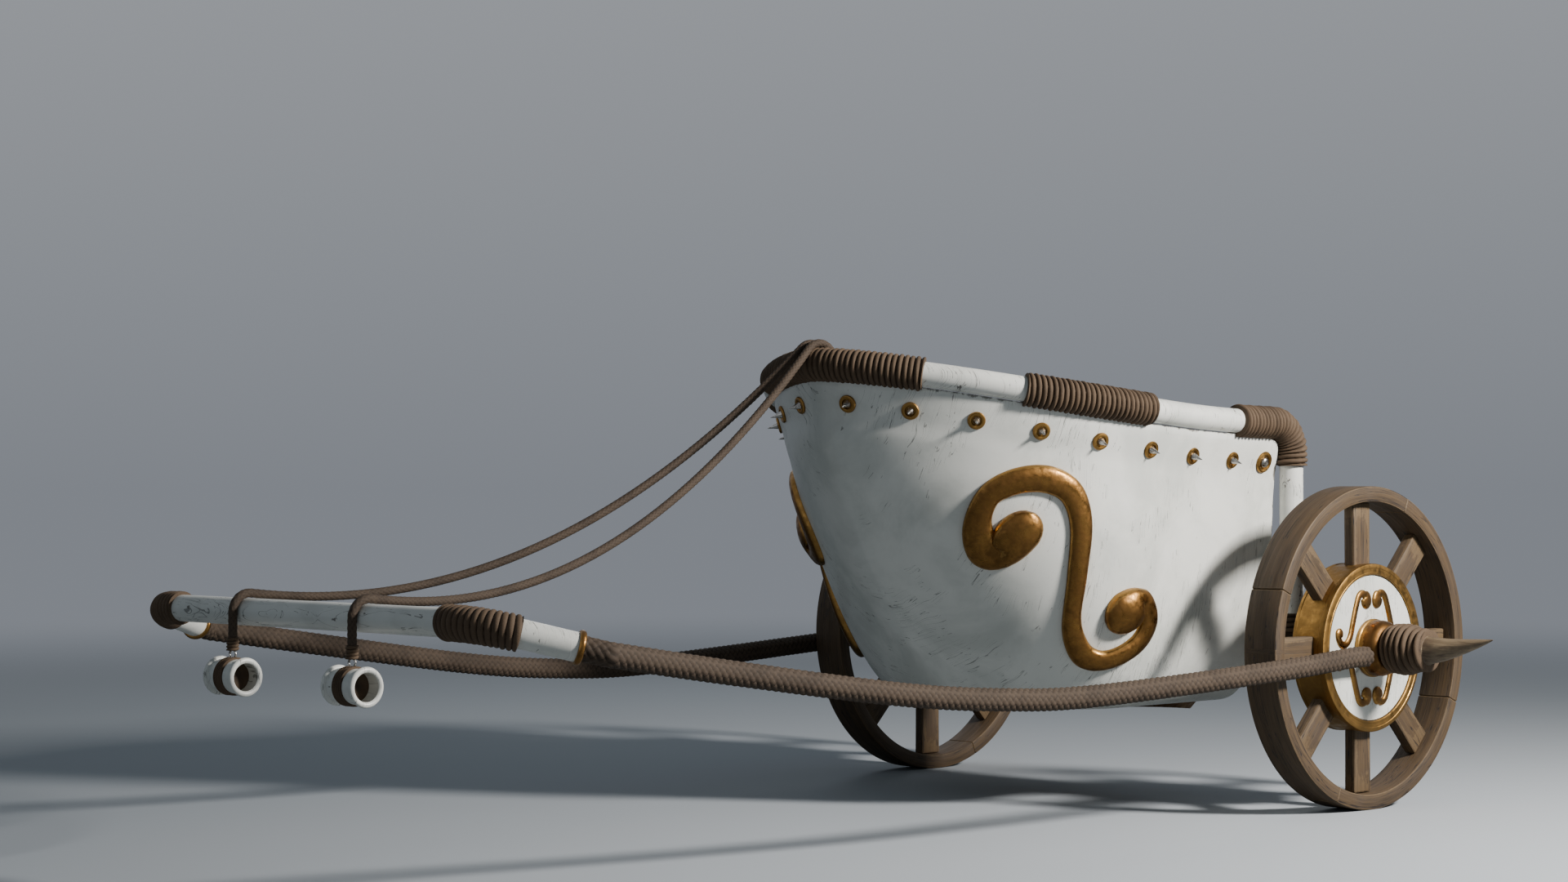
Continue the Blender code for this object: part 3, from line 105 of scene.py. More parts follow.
class Graph:
    """A short way to add and join the nodes of one tree."""

    def __init__(self, tree: bpy.types.NodeTree) -> None:
        """Keep the tree."""
        self.tree = tree

    def feed(self, socket: Socket, value: object) -> None:
        """Link a socket to another one, or set its value."""
        if isinstance(value, Socket):
            self.tree.links.new(value, socket)
        else:
            socket.default_value = value

    def add(self, kind: str, sockets: dict | None = None, **settings: object) -> bpy.types.Node:
        """Add a node, set its properties and feed its sockets.

        Args:
            kind: the node's type without the ShaderNode prefix.
            sockets: values or output sockets, by input name or number.
            settings: properties of the node.

        Returns:
            The new node.
        """
        node = self.tree.nodes.new(f"ShaderNode{kind}")
        for name, value in settings.items():
            setattr(node, name, value)
        for key, value in (sockets or {}).items():
            self.feed(node.inputs[key], value)
        return node

    def math(self, operation: str, *values: object, clamp: bool = False) -> Socket:
        """Result of one Math node.

        Args:
            operation: the node's operation.
            values: numbers or sockets.
            clamp: whether the result is kept between 0 and 1.

        Returns:
            The output socket.
        """
        sockets = dict(enumerate(values))
        return self.add("Math", sockets, operation=operation, use_clamp=clamp).outputs[0]

    def linear(self, value: Socket, factor: float, offset: object, clamp: bool = False) -> Socket:
        """A value times a factor, plus an offset."""
        return self.math("ADD", self.math("MULTIPLY", value, factor), offset, clamp=clamp)

    def less(self, start: float, value: Socket, factor: float) -> Socket:
        """A start from which a value times a factor is taken off."""
        return self.math("SUBTRACT", start, self.math("MULTIPLY", value, factor))

    def ramp(self, value: Socket, stops: Sequence[tuple[float, float]]) -> Socket:
        """A grey ramp over a value.

        Args:
            value: the socket that is mapped.
            stops: pairs of position and brightness.

        Returns:
            The ramp's colour socket.
        """
        node = self.add("ValToRGB", {0: value})
        while len(node.color_ramp.elements) < len(stops):
            node.color_ramp.elements.new(0.5)
        for element, (position, level) in zip(node.color_ramp.elements, stops):
            element.position = position
            element.color = (level, level, level, 1.0)
        return node.outputs[0]

    def blend(self, share: object, low: object, high: object) -> Socket:
        """A mix of two colours.

        Args:
            share: how much of the second one, as a number or socket.
            low: first colour, as a tuple or socket.
            high: second colour, as a tuple or socket.

        Returns:
            The mixed colour socket.
        """
        node = self.add("Mix", data_type="RGBA")
        for number, value in ((MIX_FACTOR, share), (MIX_LOW, low), (MIX_HIGH, high)):
            self.feed(node.inputs[number], (*value, 1.0) if isinstance(value, tuple) else value)
        return node.outputs[MIX_COLOUR]

    def layer(self, colour: Socket | Triple, mask: Socket, share: float, tint: Triple) -> Socket:
        """A tint laid over a colour where a mask says, at a share of its strength."""
        return self.blend(self.math("MULTIPLY", mask, share), colour, tint)

    def noise(self, vector: Socket, scale: object, detail: float = 4.0, roughness: float = 0.6,
              distortion: float = 0.0) -> Socket:
        """Noise over a vector.

        Args:
            vector: where it is read.
            scale: features per metre, as a number or socket.
            detail: octaves.
            roughness: strength of the finer octaves.
            distortion: how far it is warped.

        Returns:
            The noise's value.
        """
        sockets = {"Vector": vector, "Scale": scale, "Detail": detail, "Roughness": roughness,
                   "Distortion": distortion}
        return self.add("TexNoise", sockets).outputs[0]

    def stretch(self, vector: Socket, scale: Triple, turn: Triple = (0.0, 0.0, 0.0)) -> Socket:
        """A vector turned and stretched by a Mapping node.

        Args:
            vector: the vector that is mapped.
            scale: factor for each axis.
            turn: rotation in radians.

        Returns:
            The mapped vector.
        """
        return self.add("Mapping", {"Vector": vector, "Scale": scale, "Rotation": turn}).outputs[0]

    def spread(self, value: Socket, low: object, high: object, kind: str = "LINEAR") -> Socket:
        """A value's place between two limits, from 0 to 1.

        Args:
            value: the socket that is mapped.
            low: value that gives 0.
            high: value that gives 1.
            kind: interpolation type.

        Returns:
            The mapped socket.
        """
        sockets = {0: value, 1: low, 2: high, 3: 0.0, 4: 1.0}
        return self.add("MapRange", sockets, interpolation_type=kind).outputs[0]

    def attribute(self, name: str) -> bpy.types.Node:
        """The node that reads a point attribute."""
        return self.add("Attribute", attribute_name=name)

    def use(self, group: Callable[[], bpy.types.NodeTree], vector: Socket,
            **values: float) -> bpy.types.Node:
        """Place a shared group over a vector, with its own values."""
        return self.add("Group", {"Vector": vector, **values}, node_tree=group())


def shared(name: str, outputs: Sequence[str], **inputs: float) -> Callable[[Callable], Callable]:
    """Turn a function that draws an effect into one that gives its node group, made once.

    Args:
        name: the group's name.
        outputs: names of the float outputs.
        inputs: default value of each float input beside the vector.

    Returns:
        The decorator.
    """
    def wrap(draw: Callable[[Graph, Sockets], Sequence[Socket]]) -> Callable:
        """Keep the drawing for the first use."""
        def group() -> bpy.types.NodeTree:
            """The group, drawn on its first use."""
            found = bpy.data.node_groups.get(name)
            if found:
                return found
            tree = bpy.data.node_groups.new(name, "ShaderNodeTree")
            tree.interface.new_socket(name="Vector", in_out="INPUT", socket_type="NodeSocketVector")
            for key, value in inputs.items():
                socket = tree.interface.new_socket(name=key, in_out="INPUT", socket_type="NodeSocketFloat")
                socket.default_value = value
            for key in outputs:
                tree.interface.new_socket(name=key, in_out="OUTPUT", socket_type="NodeSocketFloat")
            given, taken = tree.nodes.new("NodeGroupInput"), tree.nodes.new("NodeGroupOutput")
            for key, socket in zip(outputs, draw(Graph(tree), given.outputs)):
                tree.links.new(socket, taken.inputs[key])
            return tree

        return group

    return wrap


@shared("grunge", ("Mask",), Scale=5.0, Level=0.6, Softness=0.1)
def grunge(g: Graph, given: Sockets) -> Sequence[Socket]:
    """Cloudy dirt with finer specks inside it."""
    cloud = g.noise(given["Vector"], given["Scale"], 7.0, 0.62, 0.4)
    low, high = (g.math(kind, given["Level"], given["Softness"]) for kind in ("SUBTRACT", "ADD"))
    return (g.spread(cloud, low, high, "SMOOTHSTEP"),)


@shared("scratches", ("Mask",), Scale=1.0, Width=0.006, Level=0.6)
def scratches(g: Graph, given: Sockets) -> Sequence[Socket]:
    """Fine scratches that run in three directions and come and go in patches."""
    place, masks = given["Vector"], []
    warp = g.add("TexNoise", {"Vector": place, "Scale": 3.0, "Detail": 3.0}).outputs[1]
    bent = g.add("VectorMath", {0: warp, 1: (0.075,) * 3, 2: place}, operation="MULTIPLY_ADD").outputs[0]
    for turn, offset in (((0.5, 0.2, 0.9), 0.0), ((1.9, 0.7, 0.1), 5.0), ((0.1, 1.1, 2.3), 9.0)):
        cells = g.noise(g.stretch(bent, (1.6, 55.0, 1.6), turn), given["Scale"], 2.0, 0.5)
        thin = g.math("LESS_THAN", g.math("ABSOLUTE", g.math("SUBTRACT", cells, 0.5)), given["Width"])
        patch = g.noise(g.stretch(place, (1, 1, 1), (offset, turn[0], 0.3)), 3.2, 4.0, 0.7)
        masks.append(g.math("MULTIPLY", thin, g.math("GREATER_THAN", patch, given["Level"])))
    return (g.math("MAXIMUM", g.math("MAXIMUM", masks[0], masks[1]), masks[2]),)


@shared("edge_wear", ("Mask",), Scale=40.0, Amount=0.6, Level=0.85)
def edge_wear(g: Graph, given: Sockets) -> Sequence[Socket]:
    """Wear that follows the edge attribute, broken up by noise."""
    edge = g.attribute("wear").outputs["Fac"]
    broken = g.noise(given["Vector"], given["Scale"], 6.0, 0.7)
    total = g.math("ADD", g.math("MULTIPLY", edge, given["Amount"]), broken)
    return (g.spread(total, given["Level"], g.math("ADD", given["Level"], 0.12)),)


@shared("wood_grain", ("Band", "Pore", "Crack"))
def wood_grain(g: Graph, given: Sockets) -> Sequence[Socket]:
    """Wood grain along the first axis: bands of growth, pores and drying cracks."""
    band = g.noise(g.stretch(given["Vector"], (1.3, 26.0, 26.0)), 1.6, 5.0, 0.62, 0.7)
    pore = g.noise(g.stretch(given["Vector"], (9.0, 260.0, 260.0)), 1.0, 3.0, 0.6)
    crack = g.noise(g.stretch(given["Vector"], (3.0, 90.0, 90.0)), 1.0, 2.0, 0.5, 0.5)
    line = g.math("ABSOLUTE", g.math("SUBTRACT", crack, 0.5))
    return (g.ramp(band, ((0.30, 0.0), (0.72, 1.0))), g.ramp(pore, ((0.34, 0.0), (0.62, 1.0))),
            g.ramp(line, ((0.004, 1.0), (0.016, 0.0))))


@shared("fibres", ("Mask",))
def fibres(g: Graph, given: Sockets) -> Sequence[Socket]:
    """Fine twisted fibres along the first axis."""
    strand = g.noise(g.stretch(given["Vector"], (110.0, 900.0, 300.0), (0.0, 0.0, 0.5)), 1.0, 3.0, 0.65)
    return (g.ramp(strand, ((0.28, 0.0), (0.70, 1.0))),)


class Coat(NamedTuple):
    """What a finish feeds into its shader; the height is raised by a bump of strength and metres."""

    colour: Socket
    rough: Socket
    height: Socket
    strength: float
    distance: float


@dataclass(frozen=True)
class Finish:
    """A material's plain numbers, slot name and smoothing angle; its nodes are drawn by the subclass."""

    name: str
    slot: str
    smooth: float = 0.7
    metallic: float = 0.0
    specular: float = 0.5

    def draw(self, g: Graph, place: Socket) -> Coat:
        """Draw the finish over object coordinates in metres."""
        raise NotImplementedError

    def material(self) -> bpy.types.Material:
        """The material, made once.

        Returns:
            The material.
        """
        found = bpy.data.materials.get(self.name)
        if found:
            return found
        made = bpy.data.materials.new(self.name)
        made.use_nodes = True
        g, inputs = Graph(made.node_tree), made.node_tree.nodes["Principled BSDF"].inputs
        coat = self.draw(g, g.add("TexCoord").outputs["Object"])
        bump = {"Height": coat.height, "Strength": coat.strength, "Distance": coat.distance}
        for key, value in (("Metallic", self.metallic), ("Specular IOR Level", self.specular),
                           ("Base Color", coat.colour), ("Roughness", coat.rough),
                           ("Normal", g.add("Bump", bump).outputs[0])):
            g.feed(inputs[key], value)
        return made


@dataclass(frozen=True)
class Enamel(Finish):
    """Warm white paint, scratched grey, with dark chips and stains."""

    chips: float = 0.80
    scuffs: float = 0.60
    stain: float = 0.60
    edges: float = 0.42

    def draw(self, g: Graph, place: Socket) -> Coat:
        """Paint, stains, scuffs, scratches and chips."""
        colour = g.blend(g.noise(place, 2.4), (0.80, 0.80, 0.76), (0.71, 0.715, 0.68))
        cloud = g.use(grunge, place, Scale=3.6, Level=self.stain, Softness=0.14).outputs[0]
        colour = g.layer(colour, cloud, 0.50, (0.40, 0.42, 0.39))
        scuff = g.use(scratches, place, Scale=2.0, Width=0.0055, Level=self.scuffs).outputs[0]
        colour = g.layer(colour, scuff, 0.80, (0.16, 0.16, 0.15))
        speck = g.use(grunge, place, Scale=26.0, Level=self.chips - 0.04, Softness=0.015)
        edge = g.use(edge_wear, place, Scale=34.0, Amount=self.edges, Level=0.82)
        chip = g.math("MAXIMUM", speck.outputs[0], edge.outputs[0])
        colour = g.layer(colour, chip, 0.85, (0.10, 0.088, 0.075))
        rough = g.linear(g.noise(place, 8.0, 5.0), 0.30, 0.20)
        rough = g.linear(chip, 0.3, rough, clamp=True)
        height = g.math("MULTIPLY", g.noise(place, 12.0, 3.0, 0.5), 0.5)
        return Coat(colour, rough, g.math("SUBTRACT", height, g.linear(scuff, 0.25, chip)), 0.35, 0.0012)


@dataclass(frozen=True)
class Gilt(Finish):
    """Aged brass, lightly hammered, brown in its hollows."""

    patina: float = 0.50
    bright: Triple = (0.335, 0.172, 0.048)
    deep: Triple = (0.225, 0.110, 0.032)

    def draw(self, g: Graph, place: Socket) -> Coat:
        """Metal, patina, dents, and bright rubbed edges that also act as a painted edge highlight."""
        fleck = g.use(grunge, place, Scale=38.0, Level=self.patina, Softness=0.16).outputs[0]
        colour = g.blend(g.noise(place, 6.0), self.bright, self.deep)
        colour = g.layer(colour, fleck, 0.55, (0.070, 0.036, 0.015))
        # Brighter gold on sharp edges: rubbed brass, and also a painted edge highlight.
        edge = g.use(edge_wear, place, Scale=60.0, Amount=0.5, Level=0.72).outputs[0]
        colour = g.layer(colour, edge, 0.4, (0.50, 0.30, 0.090))
        rough = g.linear(g.noise(place, 90.0, 3.0), 0.12, g.linear(fleck, 0.28, 0.19))
        dent = g.add("TexVoronoi", {"Vector": place, "Scale": 62.0}, feature="SMOOTH_F1").outputs[0]
        return Coat(colour, rough, g.linear(dent, 0.6, g.noise(place, 46.0, 3.0, 0.5)), 0.42, 0.0024)


@dataclass(frozen=True)
class Oak(Finish):
    """Weathered brown-grey timber; its grain follows the grain attribute."""

    dark: Triple = (0.024, 0.0135, 0.0062)
    light: Triple = (0.090, 0.053, 0.023)

    def draw(self, g: Graph, place: Socket) -> Coat:
        """Growth bands, pores, cracks, dust and worn edges."""
        grain = g.use(wood_grain, g.attribute("grain").outputs["Vector"]).outputs
        colour = g.blend(grain["Band"], self.dark, self.light)
        colour = g.layer(colour, grain["Pore"], 0.36, (0.128, 0.083, 0.041))
        dust = g.use(grunge, place, Scale=7.0, Level=0.56, Softness=0.14).outputs[0]
        colour = g.layer(colour, dust, 0.38, (0.070, 0.048, 0.034))
        edge = g.use(edge_wear, place, Scale=48.0, Amount=0.55, Level=0.76).outputs[0]
        colour = g.layer(colour, edge, 0.50, (0.160, 0.105, 0.052))
        colour = g.blend(grain["Crack"], colour, (0.016, 0.010, 0.007))
        height = g.linear(grain["Band"], 0.6, g.math("MULTIPLY", grain["Pore"], 0.4))
        return Coat(colour, g.less(0.78, grain["Band"], 0.22),
                    g.math("SUBTRACT", height, grain["Crack"]), 0.40, 0.0013)


@dataclass(frozen=True)
class Cordage(Finish):
    """Twisted or plaited leather cord; the relief attribute darkens its hollows as painted shade."""

    # dark is painted shade in the cord's hollows and also the colour of its worn patches; light is the
    # colour of its crowns.
    dark: Triple = (0.011, 0.0075, 0.005)
    light: Triple = (0.096, 0.063, 0.038)
    dust: Triple = (0.150, 0.098, 0.064)

    def draw(self, g: Graph, place: Socket) -> Coat:
        """Painted shade in the hollows, fibres and faded patches."""
        # Painted shade: the colour runs from dark in the low points between turns and strands to light on
        # their crowns.
        relief = g.ramp(g.attribute("relief").outputs["Fac"], ((0.10, 0.0), (0.62, 1.0)))
        along = g.add("UVMap", uv_map="metres").outputs[0]
        fibre = g.use(fibres, along).outputs[0]
        colour = g.layer(g.blend(relief, self.dark, self.light), fibre, 0.38, self.dust)
        worn = g.use(grunge, place, Scale=11.0, Level=0.55, Softness=0.12).outputs[0]
        return Coat(g.layer(colour, worn, 0.35, self.dark), g.less(0.86, fibre, 0.18), fibre, 0.45, 0.0007)


@dataclass(frozen=True)
class Horn(Finish):
    """Pale horn, streaked along its length, darker towards its base."""

    def draw(self, g: Graph, place: Socket) -> Coat:
        """Streaks and darkening towards the base."""
        streak = g.noise(g.stretch(place, (7.0, 90.0, 90.0)), 1.0, 5.0, 0.65, 0.5)
        pale = g.ramp(streak, ((0.32, 0.0), (0.68, 1.0)))
        colour = g.blend(pale, (0.085, 0.056, 0.033), (0.265, 0.198, 0.120))
        cloud = g.ramp(g.noise(place, 30.0, 5.0, 0.65), ((0.30, 0.2), (0.65, 1.0)))
        # Darker towards the base, where the wear attribute is high, broken up by a cloud.
        base_darkening = g.math("MULTIPLY", g.attribute("wear").outputs["Fac"], cloud)
        colour = g.blend(base_darkening, colour, (0.070, 0.045, 0.028))
        return Coat(colour, g.linear(streak, 0.25, 0.34), streak, 0.5, 0.0018)


@dataclass(frozen=True)
class Steel(Finish):
    """Worn bright steel with rust-brown flecks."""

    bright: Triple = (0.46, 0.45, 0.43)

    def draw(self, g: Graph, place: Socket) -> Coat:
        """Metal and flecks."""
        fleck = g.use(grunge, place, Scale=120.0, Level=0.58, Softness=0.10).outputs[0]
        colour = g.layer(self.bright, fleck, 0.6, (0.13, 0.088, 0.060))
        return Coat(colour, g.linear(fleck, 0.35, 0.24), fleck, 0.25, 0.0006)


@dataclass(frozen=True)
class Hide(Finish):
    """Dark worn leather with a fine pebbled grain."""

    dark: Triple = (0.030, 0.019, 0.013)
    light: Triple = (0.095, 0.060, 0.042)

    def draw(self, g: Graph, place: Socket) -> Coat:
        """Pebbles, creases and rubbed patches."""
        cells = {"Vector": place, "Scale": 480.0}
        pebble = g.add("TexVoronoi", cells, feature="DISTANCE_TO_EDGE").outputs[0]
        rub = g.noise(place, 26.0, 5.0, 0.65)
        colour = g.blend(g.ramp(rub, ((0.35, 0.0), (0.65, 1.0))), self.dark, self.light)
        return Coat(colour, g.less(0.74, rub, 0.3), g.math("ADD", pebble, rub), 0.4, 0.0008)


ENAMEL = Enamel("worn_white_enamel", "enamel", scuffs=0.565, stain=0.535)
ENAMEL_RAIL = Enamel("worn_white_rail", "enamel", 1.0, chips=0.70, scuffs=0.52, stain=0.58)
ENAMEL_CUFF = Enamel("worn_white_cuff", "enamel", 0.8, scuffs=0.57, stain=0.56, edges=0.20)
GILT = Gilt("aged_gilt", "gilt", metallic=1.0)
GILT_WHEEL = Gilt("browned_gilt", "gilt", 0.6, metallic=1.0, patina=0.42,
                  bright=(0.210, 0.102, 0.028), deep=(0.135, 0.064, 0.019))
OAK = Oak("weathered_oak", "oak", 0.6)
OAK_DARK = Oak("shaded_oak", "oak", dark=(0.030, 0.018, 0.011), light=(0.090, 0.056, 0.034))
# CORD and ROPE darken the hollows of their cord with painted shade.
CORD = Cordage("binding_cord", "cord", 1.2, specular=0.3)
ROPE = Cordage("plaited_rope", "rope", 1.2, specular=0.3, dark=(0.010, 0.0065, 0.0045),
               light=(0.066, 0.0455, 0.031), dust=(0.092, 0.066, 0.047))
HORN = Horn("streaked_horn", "horn", 1.0)
STEEL = Steel("worn_steel", "gilt", metallic=1.0)
HIDE = Hide("rubbed_hide", "hide", 1.0, specular=0.35)


# Paths and meshes


def run_along(path: np.ndarray) -> np.ndarray:
    """Distance of each point of a path from its start."""
    return np.concatenate(([0.0], np.cumsum(np.linalg.norm(np.diff(path, axis=0), axis=1))))


def resampled(path: np.ndarray, step: float) -> np.ndarray:
    """Points at an even step along a path.

    Args:
        path: points, one row each.
        step: distance between points.

    Returns:
        The new points, the two ends kept.
    """
    run = run_along(path)
    goal = np.linspace(0.0, run[-1], max(2, round(run[-1] / step) + 1))
    return np.stack([np.interp(goal, run, path[:, k]) for k in range(path.shape[1])], axis=1)


def length_of(path: np.ndarray) -> float:
    """Length of a path."""
    return float(np.linalg.norm(np.diff(path, axis=0), axis=1).sum())


def on_axis(places: np.ndarray) -> np.ndarray:
    """Points on the X axis."""
    return np.stack((places, 0 * places, 0 * places), axis=1)


def both_halves(half: np.ndarray) -> np.ndarray:
    """A path on both sides, from a left half that ends on the middle plane."""
    return np.vstack((half, half[-2::-1] * Side.RIGHT.flip))


def crown(share: np.ndarray) -> np.ndarray:
    """Height of a half circle over a share from 0 to 1."""
    return np.sqrt(np.clip(1 - (2 * share - 1) ** 2, 0.0, 1.0))


def smooth_through(knots: Sequence[Sequence[float]], per_span: int = 16) -> np.ndarray:
    """A Catmull-Rom curve through knots.

    Args:
        knots: the points it passes through.
        per_span: points in each span.

    Returns:
        The curve's points.
    """
    k = np.array(knots, dtype=float)
    ends = np.vstack((2 * k[0] - k[1], k, 2 * k[-1] - k[-2]))
    share = np.arange(per_span)[:, None] / per_span
    spans = [0.5 * (2 * b + (c - a) * share + (2 * a - 5 * b + 4 * c - d) * share ** 2
                    + (3 * b - a - 3 * c + d) * share ** 3)
             for a, b, c, d in zip(ends, ends[1:], ends[2:], ends[3:])]
    return np.vstack((*spans, k[-1:]))


def frames_along(path: np.ndarray) -> tuple[np.ndarray, np.ndarray]:
    """Side and up vectors of each point of a path, without twist.

    Args:
        path: points, one row each.

    Returns:
        The side vectors and the up vectors.
    """
    tangent = directions(path)
    first = np.cross(tangent[0], (0.0, 0.0, 1.0))
    if np.linalg.norm(first) < 0.1:
        first = np.cross(tangent[0], (0.0, 1.0, 0.0))
    side = [first / np.linalg.norm(first)]
    for t in tangent[1:]:
        turned_side = side[-1] - t * np.dot(side[-1], t)
        side.append(turned_side / np.linalg.norm(turned_side))
    sides = np.array(side)
    return sides, np.cross(tangent, sides)


def directions(path: np.ndarray) -> np.ndarray:
    """Unit direction of a path at each point."""
    tangent = np.gradient(path, axis=0)
    return tangent / np.linalg.norm(tangent, axis=1, keepdims=True)


def placed(name: str, data: bpy.types.ID) -> bpy.types.Object:
    """A new object in the scene around some data."""
    made = bpy.data.objects.new(name, data)
    bpy.context.scene.collection.objects.link(made)
    return made


def write(mesh: bpy.types.Mesh, name: str, values: Sequence[float], kind: str = "FLOAT") -> None:
    """Write an attribute of a mesh's points.

    Args:
        mesh: the mesh.
        name: the attribute's name.
        values: one number for each point, or three for a vector.
        kind: the attribute's type.
    """
    layer = mesh.attributes.get(name) or mesh.attributes.new(name, kind, "POINT")
    layer.data.foreach_set("value" if kind == "FLOAT" else "vector", values)


def grid_object(name: str, rings: np.ndarray, girth: float,
                relief: np.ndarray | None = None) -> bpy.types.Object:
    """A tube with closed ends from rings of points, with its UV map in metres.

    Args:
        name: the object's name.
        rings: points as (rings, points round, 3).
        girth: distance round one ring, for the UV map.
        relief: height of each point between 0 and 1, kept as an attribute that the cord finishes turn into
            painted shade in the hollows.

    Returns:
        The object.
    """
    rows, count = rings.shape[:2]
    centre = rings.mean(axis=1)
    run = run_along(centre)
    row, column = np.meshgrid(np.arange(rows - 1), np.arange(count), indexing="ij")
    above, beside = row + 1, (column + 1) % count
    quads = np.stack((row * count + column, row * count + beside,
                      above * count + beside, above * count + column), axis=-1).reshape(-1, 4)
    u = np.stack((run[row], run[row], run[above], run[above]), axis=-1).reshape(-1)
    v = np.stack((column, column + 1, column + 1, column), axis=-1).reshape(-1) * girth / count
    verts = np.vstack((rings.reshape(-1, 3), centre[:1], centre[-1:]))
    faces = quads.tolist()
    uvs = np.stack((u, v), axis=-1).tolist()
    hub, last = rows * count, (rows - 1) * count
    for i in range(count):
        j = (i + 1) % count
        faces += [[j, i, hub], [last + i, last + j, hub + 1]]
        at_i, at_j = i * girth / count, j * girth / count
        uvs += [[run[0], at_j], [run[0], at_i], [run[0], 0.0]]
        uvs += [[run[-1], at_i], [run[-1], at_j], [run[-1], 0.0]]
    mesh = bpy.data.meshes.new(name)
    mesh.from_pydata(verts.tolist(), [], faces)
    mesh.uv_layers.new(name="metres").data.foreach_set("uv", np.array(uvs, dtype=np.float32).ravel())
    if relief is not None:
        write(mesh, "relief", np.append(relief.ravel(), (0.0, 0.0)).astype(np.float32))
    made = placed(name, mesh)
    face_outwards(made)
    return made


def face_outwards(piece: bpy.types.Object) -> None:
    """Merge doubles and turn all faces outwards."""
    work = bmesh.new()
    work.from_mesh(piece.data)
    bmesh.ops.remove_doubles(work, verts=work.verts[:], dist=WELD)
    bmesh.ops.recalc_face_normals(work, faces=work.faces[:])
    if work.calc_volume(signed=True) < 0:
        bmesh.ops.reverse_faces(work, faces=work.faces[:])
    work.to_mesh(piece.data)
    work.free()


def sweep(name: str, path: np.ndarray, radius: np.ndarray | float, around: int,
          relief: np.ndarray | None = None) -> bpy.types.Object:
    """A tube along a path whose radius may change at every point.

    Args:
        name: the object's name.
        path: centre line, one row each.
        radius: one radius, one for each point, or an array of (points, points round).
        around: points round the tube.
        relief: height of each point between 0 and 1, which the cord finishes turn into painted shade in the
            hollows.

    Returns:
        The tube.
    """
    side, up = frames_along(path)
    angle = np.arange(around) * TAU / around
    reach = np.asarray(radius, dtype=float)
    reach = np.broadcast_to(reach[:, None] if reach.ndim == 1 else reach, (len(path), around))
    rings = path[:, None, :] + reach[..., None] * (side[:, None, :] * np.cos(angle)[None, :, None]
                                                   + up[:, None, :] * np.sin(angle)[None, :, None])
    return grid_object(name, rings, TAU * float(reach.mean()), relief)


def plait(path_length: float, rows: int, around: int, strands: int, period: float) -> np.ndarray:
    """Height of a plaited rope's surface: two families of strands over and under each other.

    Args:
        path_length: length of the rope.
        rows: points along it.
        around: points round it.
        strands: strands of each family.
        period: length of one diamond.

    Returns:
        Heights between 0 and 1 as (rows, around).
    """
    along = np.linspace(0.0, path_length, rows)[:, None] / period
    turn = np.arange(around)[None, :] / around * strands
    a, b = (turn + along) % 1000.0, (turn - along) % 1000.0
    over = (np.floor(a) + np.floor(b)) % 2 < 1
    return crown(np.where(over, b % 1.0, a % 1.0)) * (
        0.55 + 0.45 * np.sin(np.pi * np.where(over, a % 1.0, b % 1.0)))


def rope(name: str, path: np.ndarray, radius: float, strands: int, period: float,
         around: int) -> tuple[bpy.types.Object, np.ndarray]:
    """A plaited rope along a path.

    Args:
        name: the object's name.
        path: centre line.
        radius: outer radius.
        strands: strands of each family.
        period: length of one diamond.
        around: points round the rope.

    Returns:
        The rope and its ring centres.
    """
    rings_each, hollow = 8, 0.13
    fine = resampled(path, period / rings_each)
    height = plait(length_of(fine), len(fine), around, strands, period)
    return sweep(name, fine, radius * (1 - hollow + hollow * height), around, height), fine


def winding(name: str, path: np.ndarray, core: np.ndarray | float, cord: float, pitch: float,
            around: int = BAR_SIDES, per_turn: int = 10) -> bpy.types.Object:
    """A cord wound close round a bar: a ribbed sleeve whose ribs climb as a helix.

    Args:
        name: the object's name.
        path: the bar's centre line.
        core: radius under the cord, one number or one for each point of an even run.
        cord: how far the cord stands out.
        pitch: distance from turn to turn.
        around: points round the sleeve.
        per_turn: rings to a turn.

    Returns:
        The sleeve.
    """
    total = length_of(path)
    turns = max(2, round(total / pitch))
    fine = resampled(path, total / (turns * per_turn))
    share = np.linspace(0.0, turns, len(fine))[:, None] - np.arange(around)[None, :] / around
    wobble = 0.06 * np.sin(share * 2.4 + np.floor(share) * 1.7)
    rib = np.clip(crown(share % 1.0) * (0.94 + wobble), 0.0, 1.0)
    size = np.interp(np.linspace(0, 1, len(fine)), np.linspace(0, 1, np.size(core)), np.ravel(core))
    reach = size[:, None] + cord * (0.12 + 0.88 * rib)
    reach[0], reach[-1] = size[0] + 0.1 * cord, size[-1] + 0.1 * cord
    return sweep(name, fine, reach, around, rib)


def pick(*pieces: bpy.types.Object) -> None:
    """Select only these pieces, the first one active; with none, clear the selection."""
    bpy.ops.object.select_all(action="DESELECT")
    for piece in pieces:
        piece.select_set(True)
    if pieces:
        bpy.context.view_layer.objects.active = pieces[0]


@contextmanager
def editing(piece: bpy.types.Object) -> Iterator[None]:
    """Edit mode on one piece, with its whole mesh selected at the start."""
    pick(piece)
    bpy.ops.object.mode_set(mode="EDIT")
    bpy.ops.mesh.select_all(action="SELECT")
    yield
    bpy.ops.object.mode_set(mode="OBJECT")
    pick()


def turned(name: str, profile: Profile, sides: int, closed: bool = False) -> bpy.types.Object:
    """A piece turned about X: a profile line is drawn out from a single plane and spun.

    Args:
        name: the object's name.
        profile: pairs of place along X and radius, from back to front.
        sides: faces round the piece.
        closed: whether the profile is a closed loop, as on a ring.

    Returns:
        The piece.
    """
    mesh = bpy.data.meshes.new(name)
    count = len(profile)
    edges = [(i, i + 1) for i in range(count - 1)] + ([(count - 1, 0)] if closed else [])
    mesh.from_pydata([(x, 0.0, r) for x, r in profile], edges, [])
    made = placed(name, mesh)
    with editing(made):
        bpy.ops.mesh.spin(steps=sides, angle=TAU, center=(0.0, 0.0, 0.0), axis=(1.0, 0.0, 0.0))
        bpy.ops.mesh.select_all(action="SELECT")
        bpy.ops.mesh.remove_doubles(threshold=TURNED_WELD)
        bpy.ops.mesh.normals_make_consistent(inside=False)
    face_outwards(made)
    return made


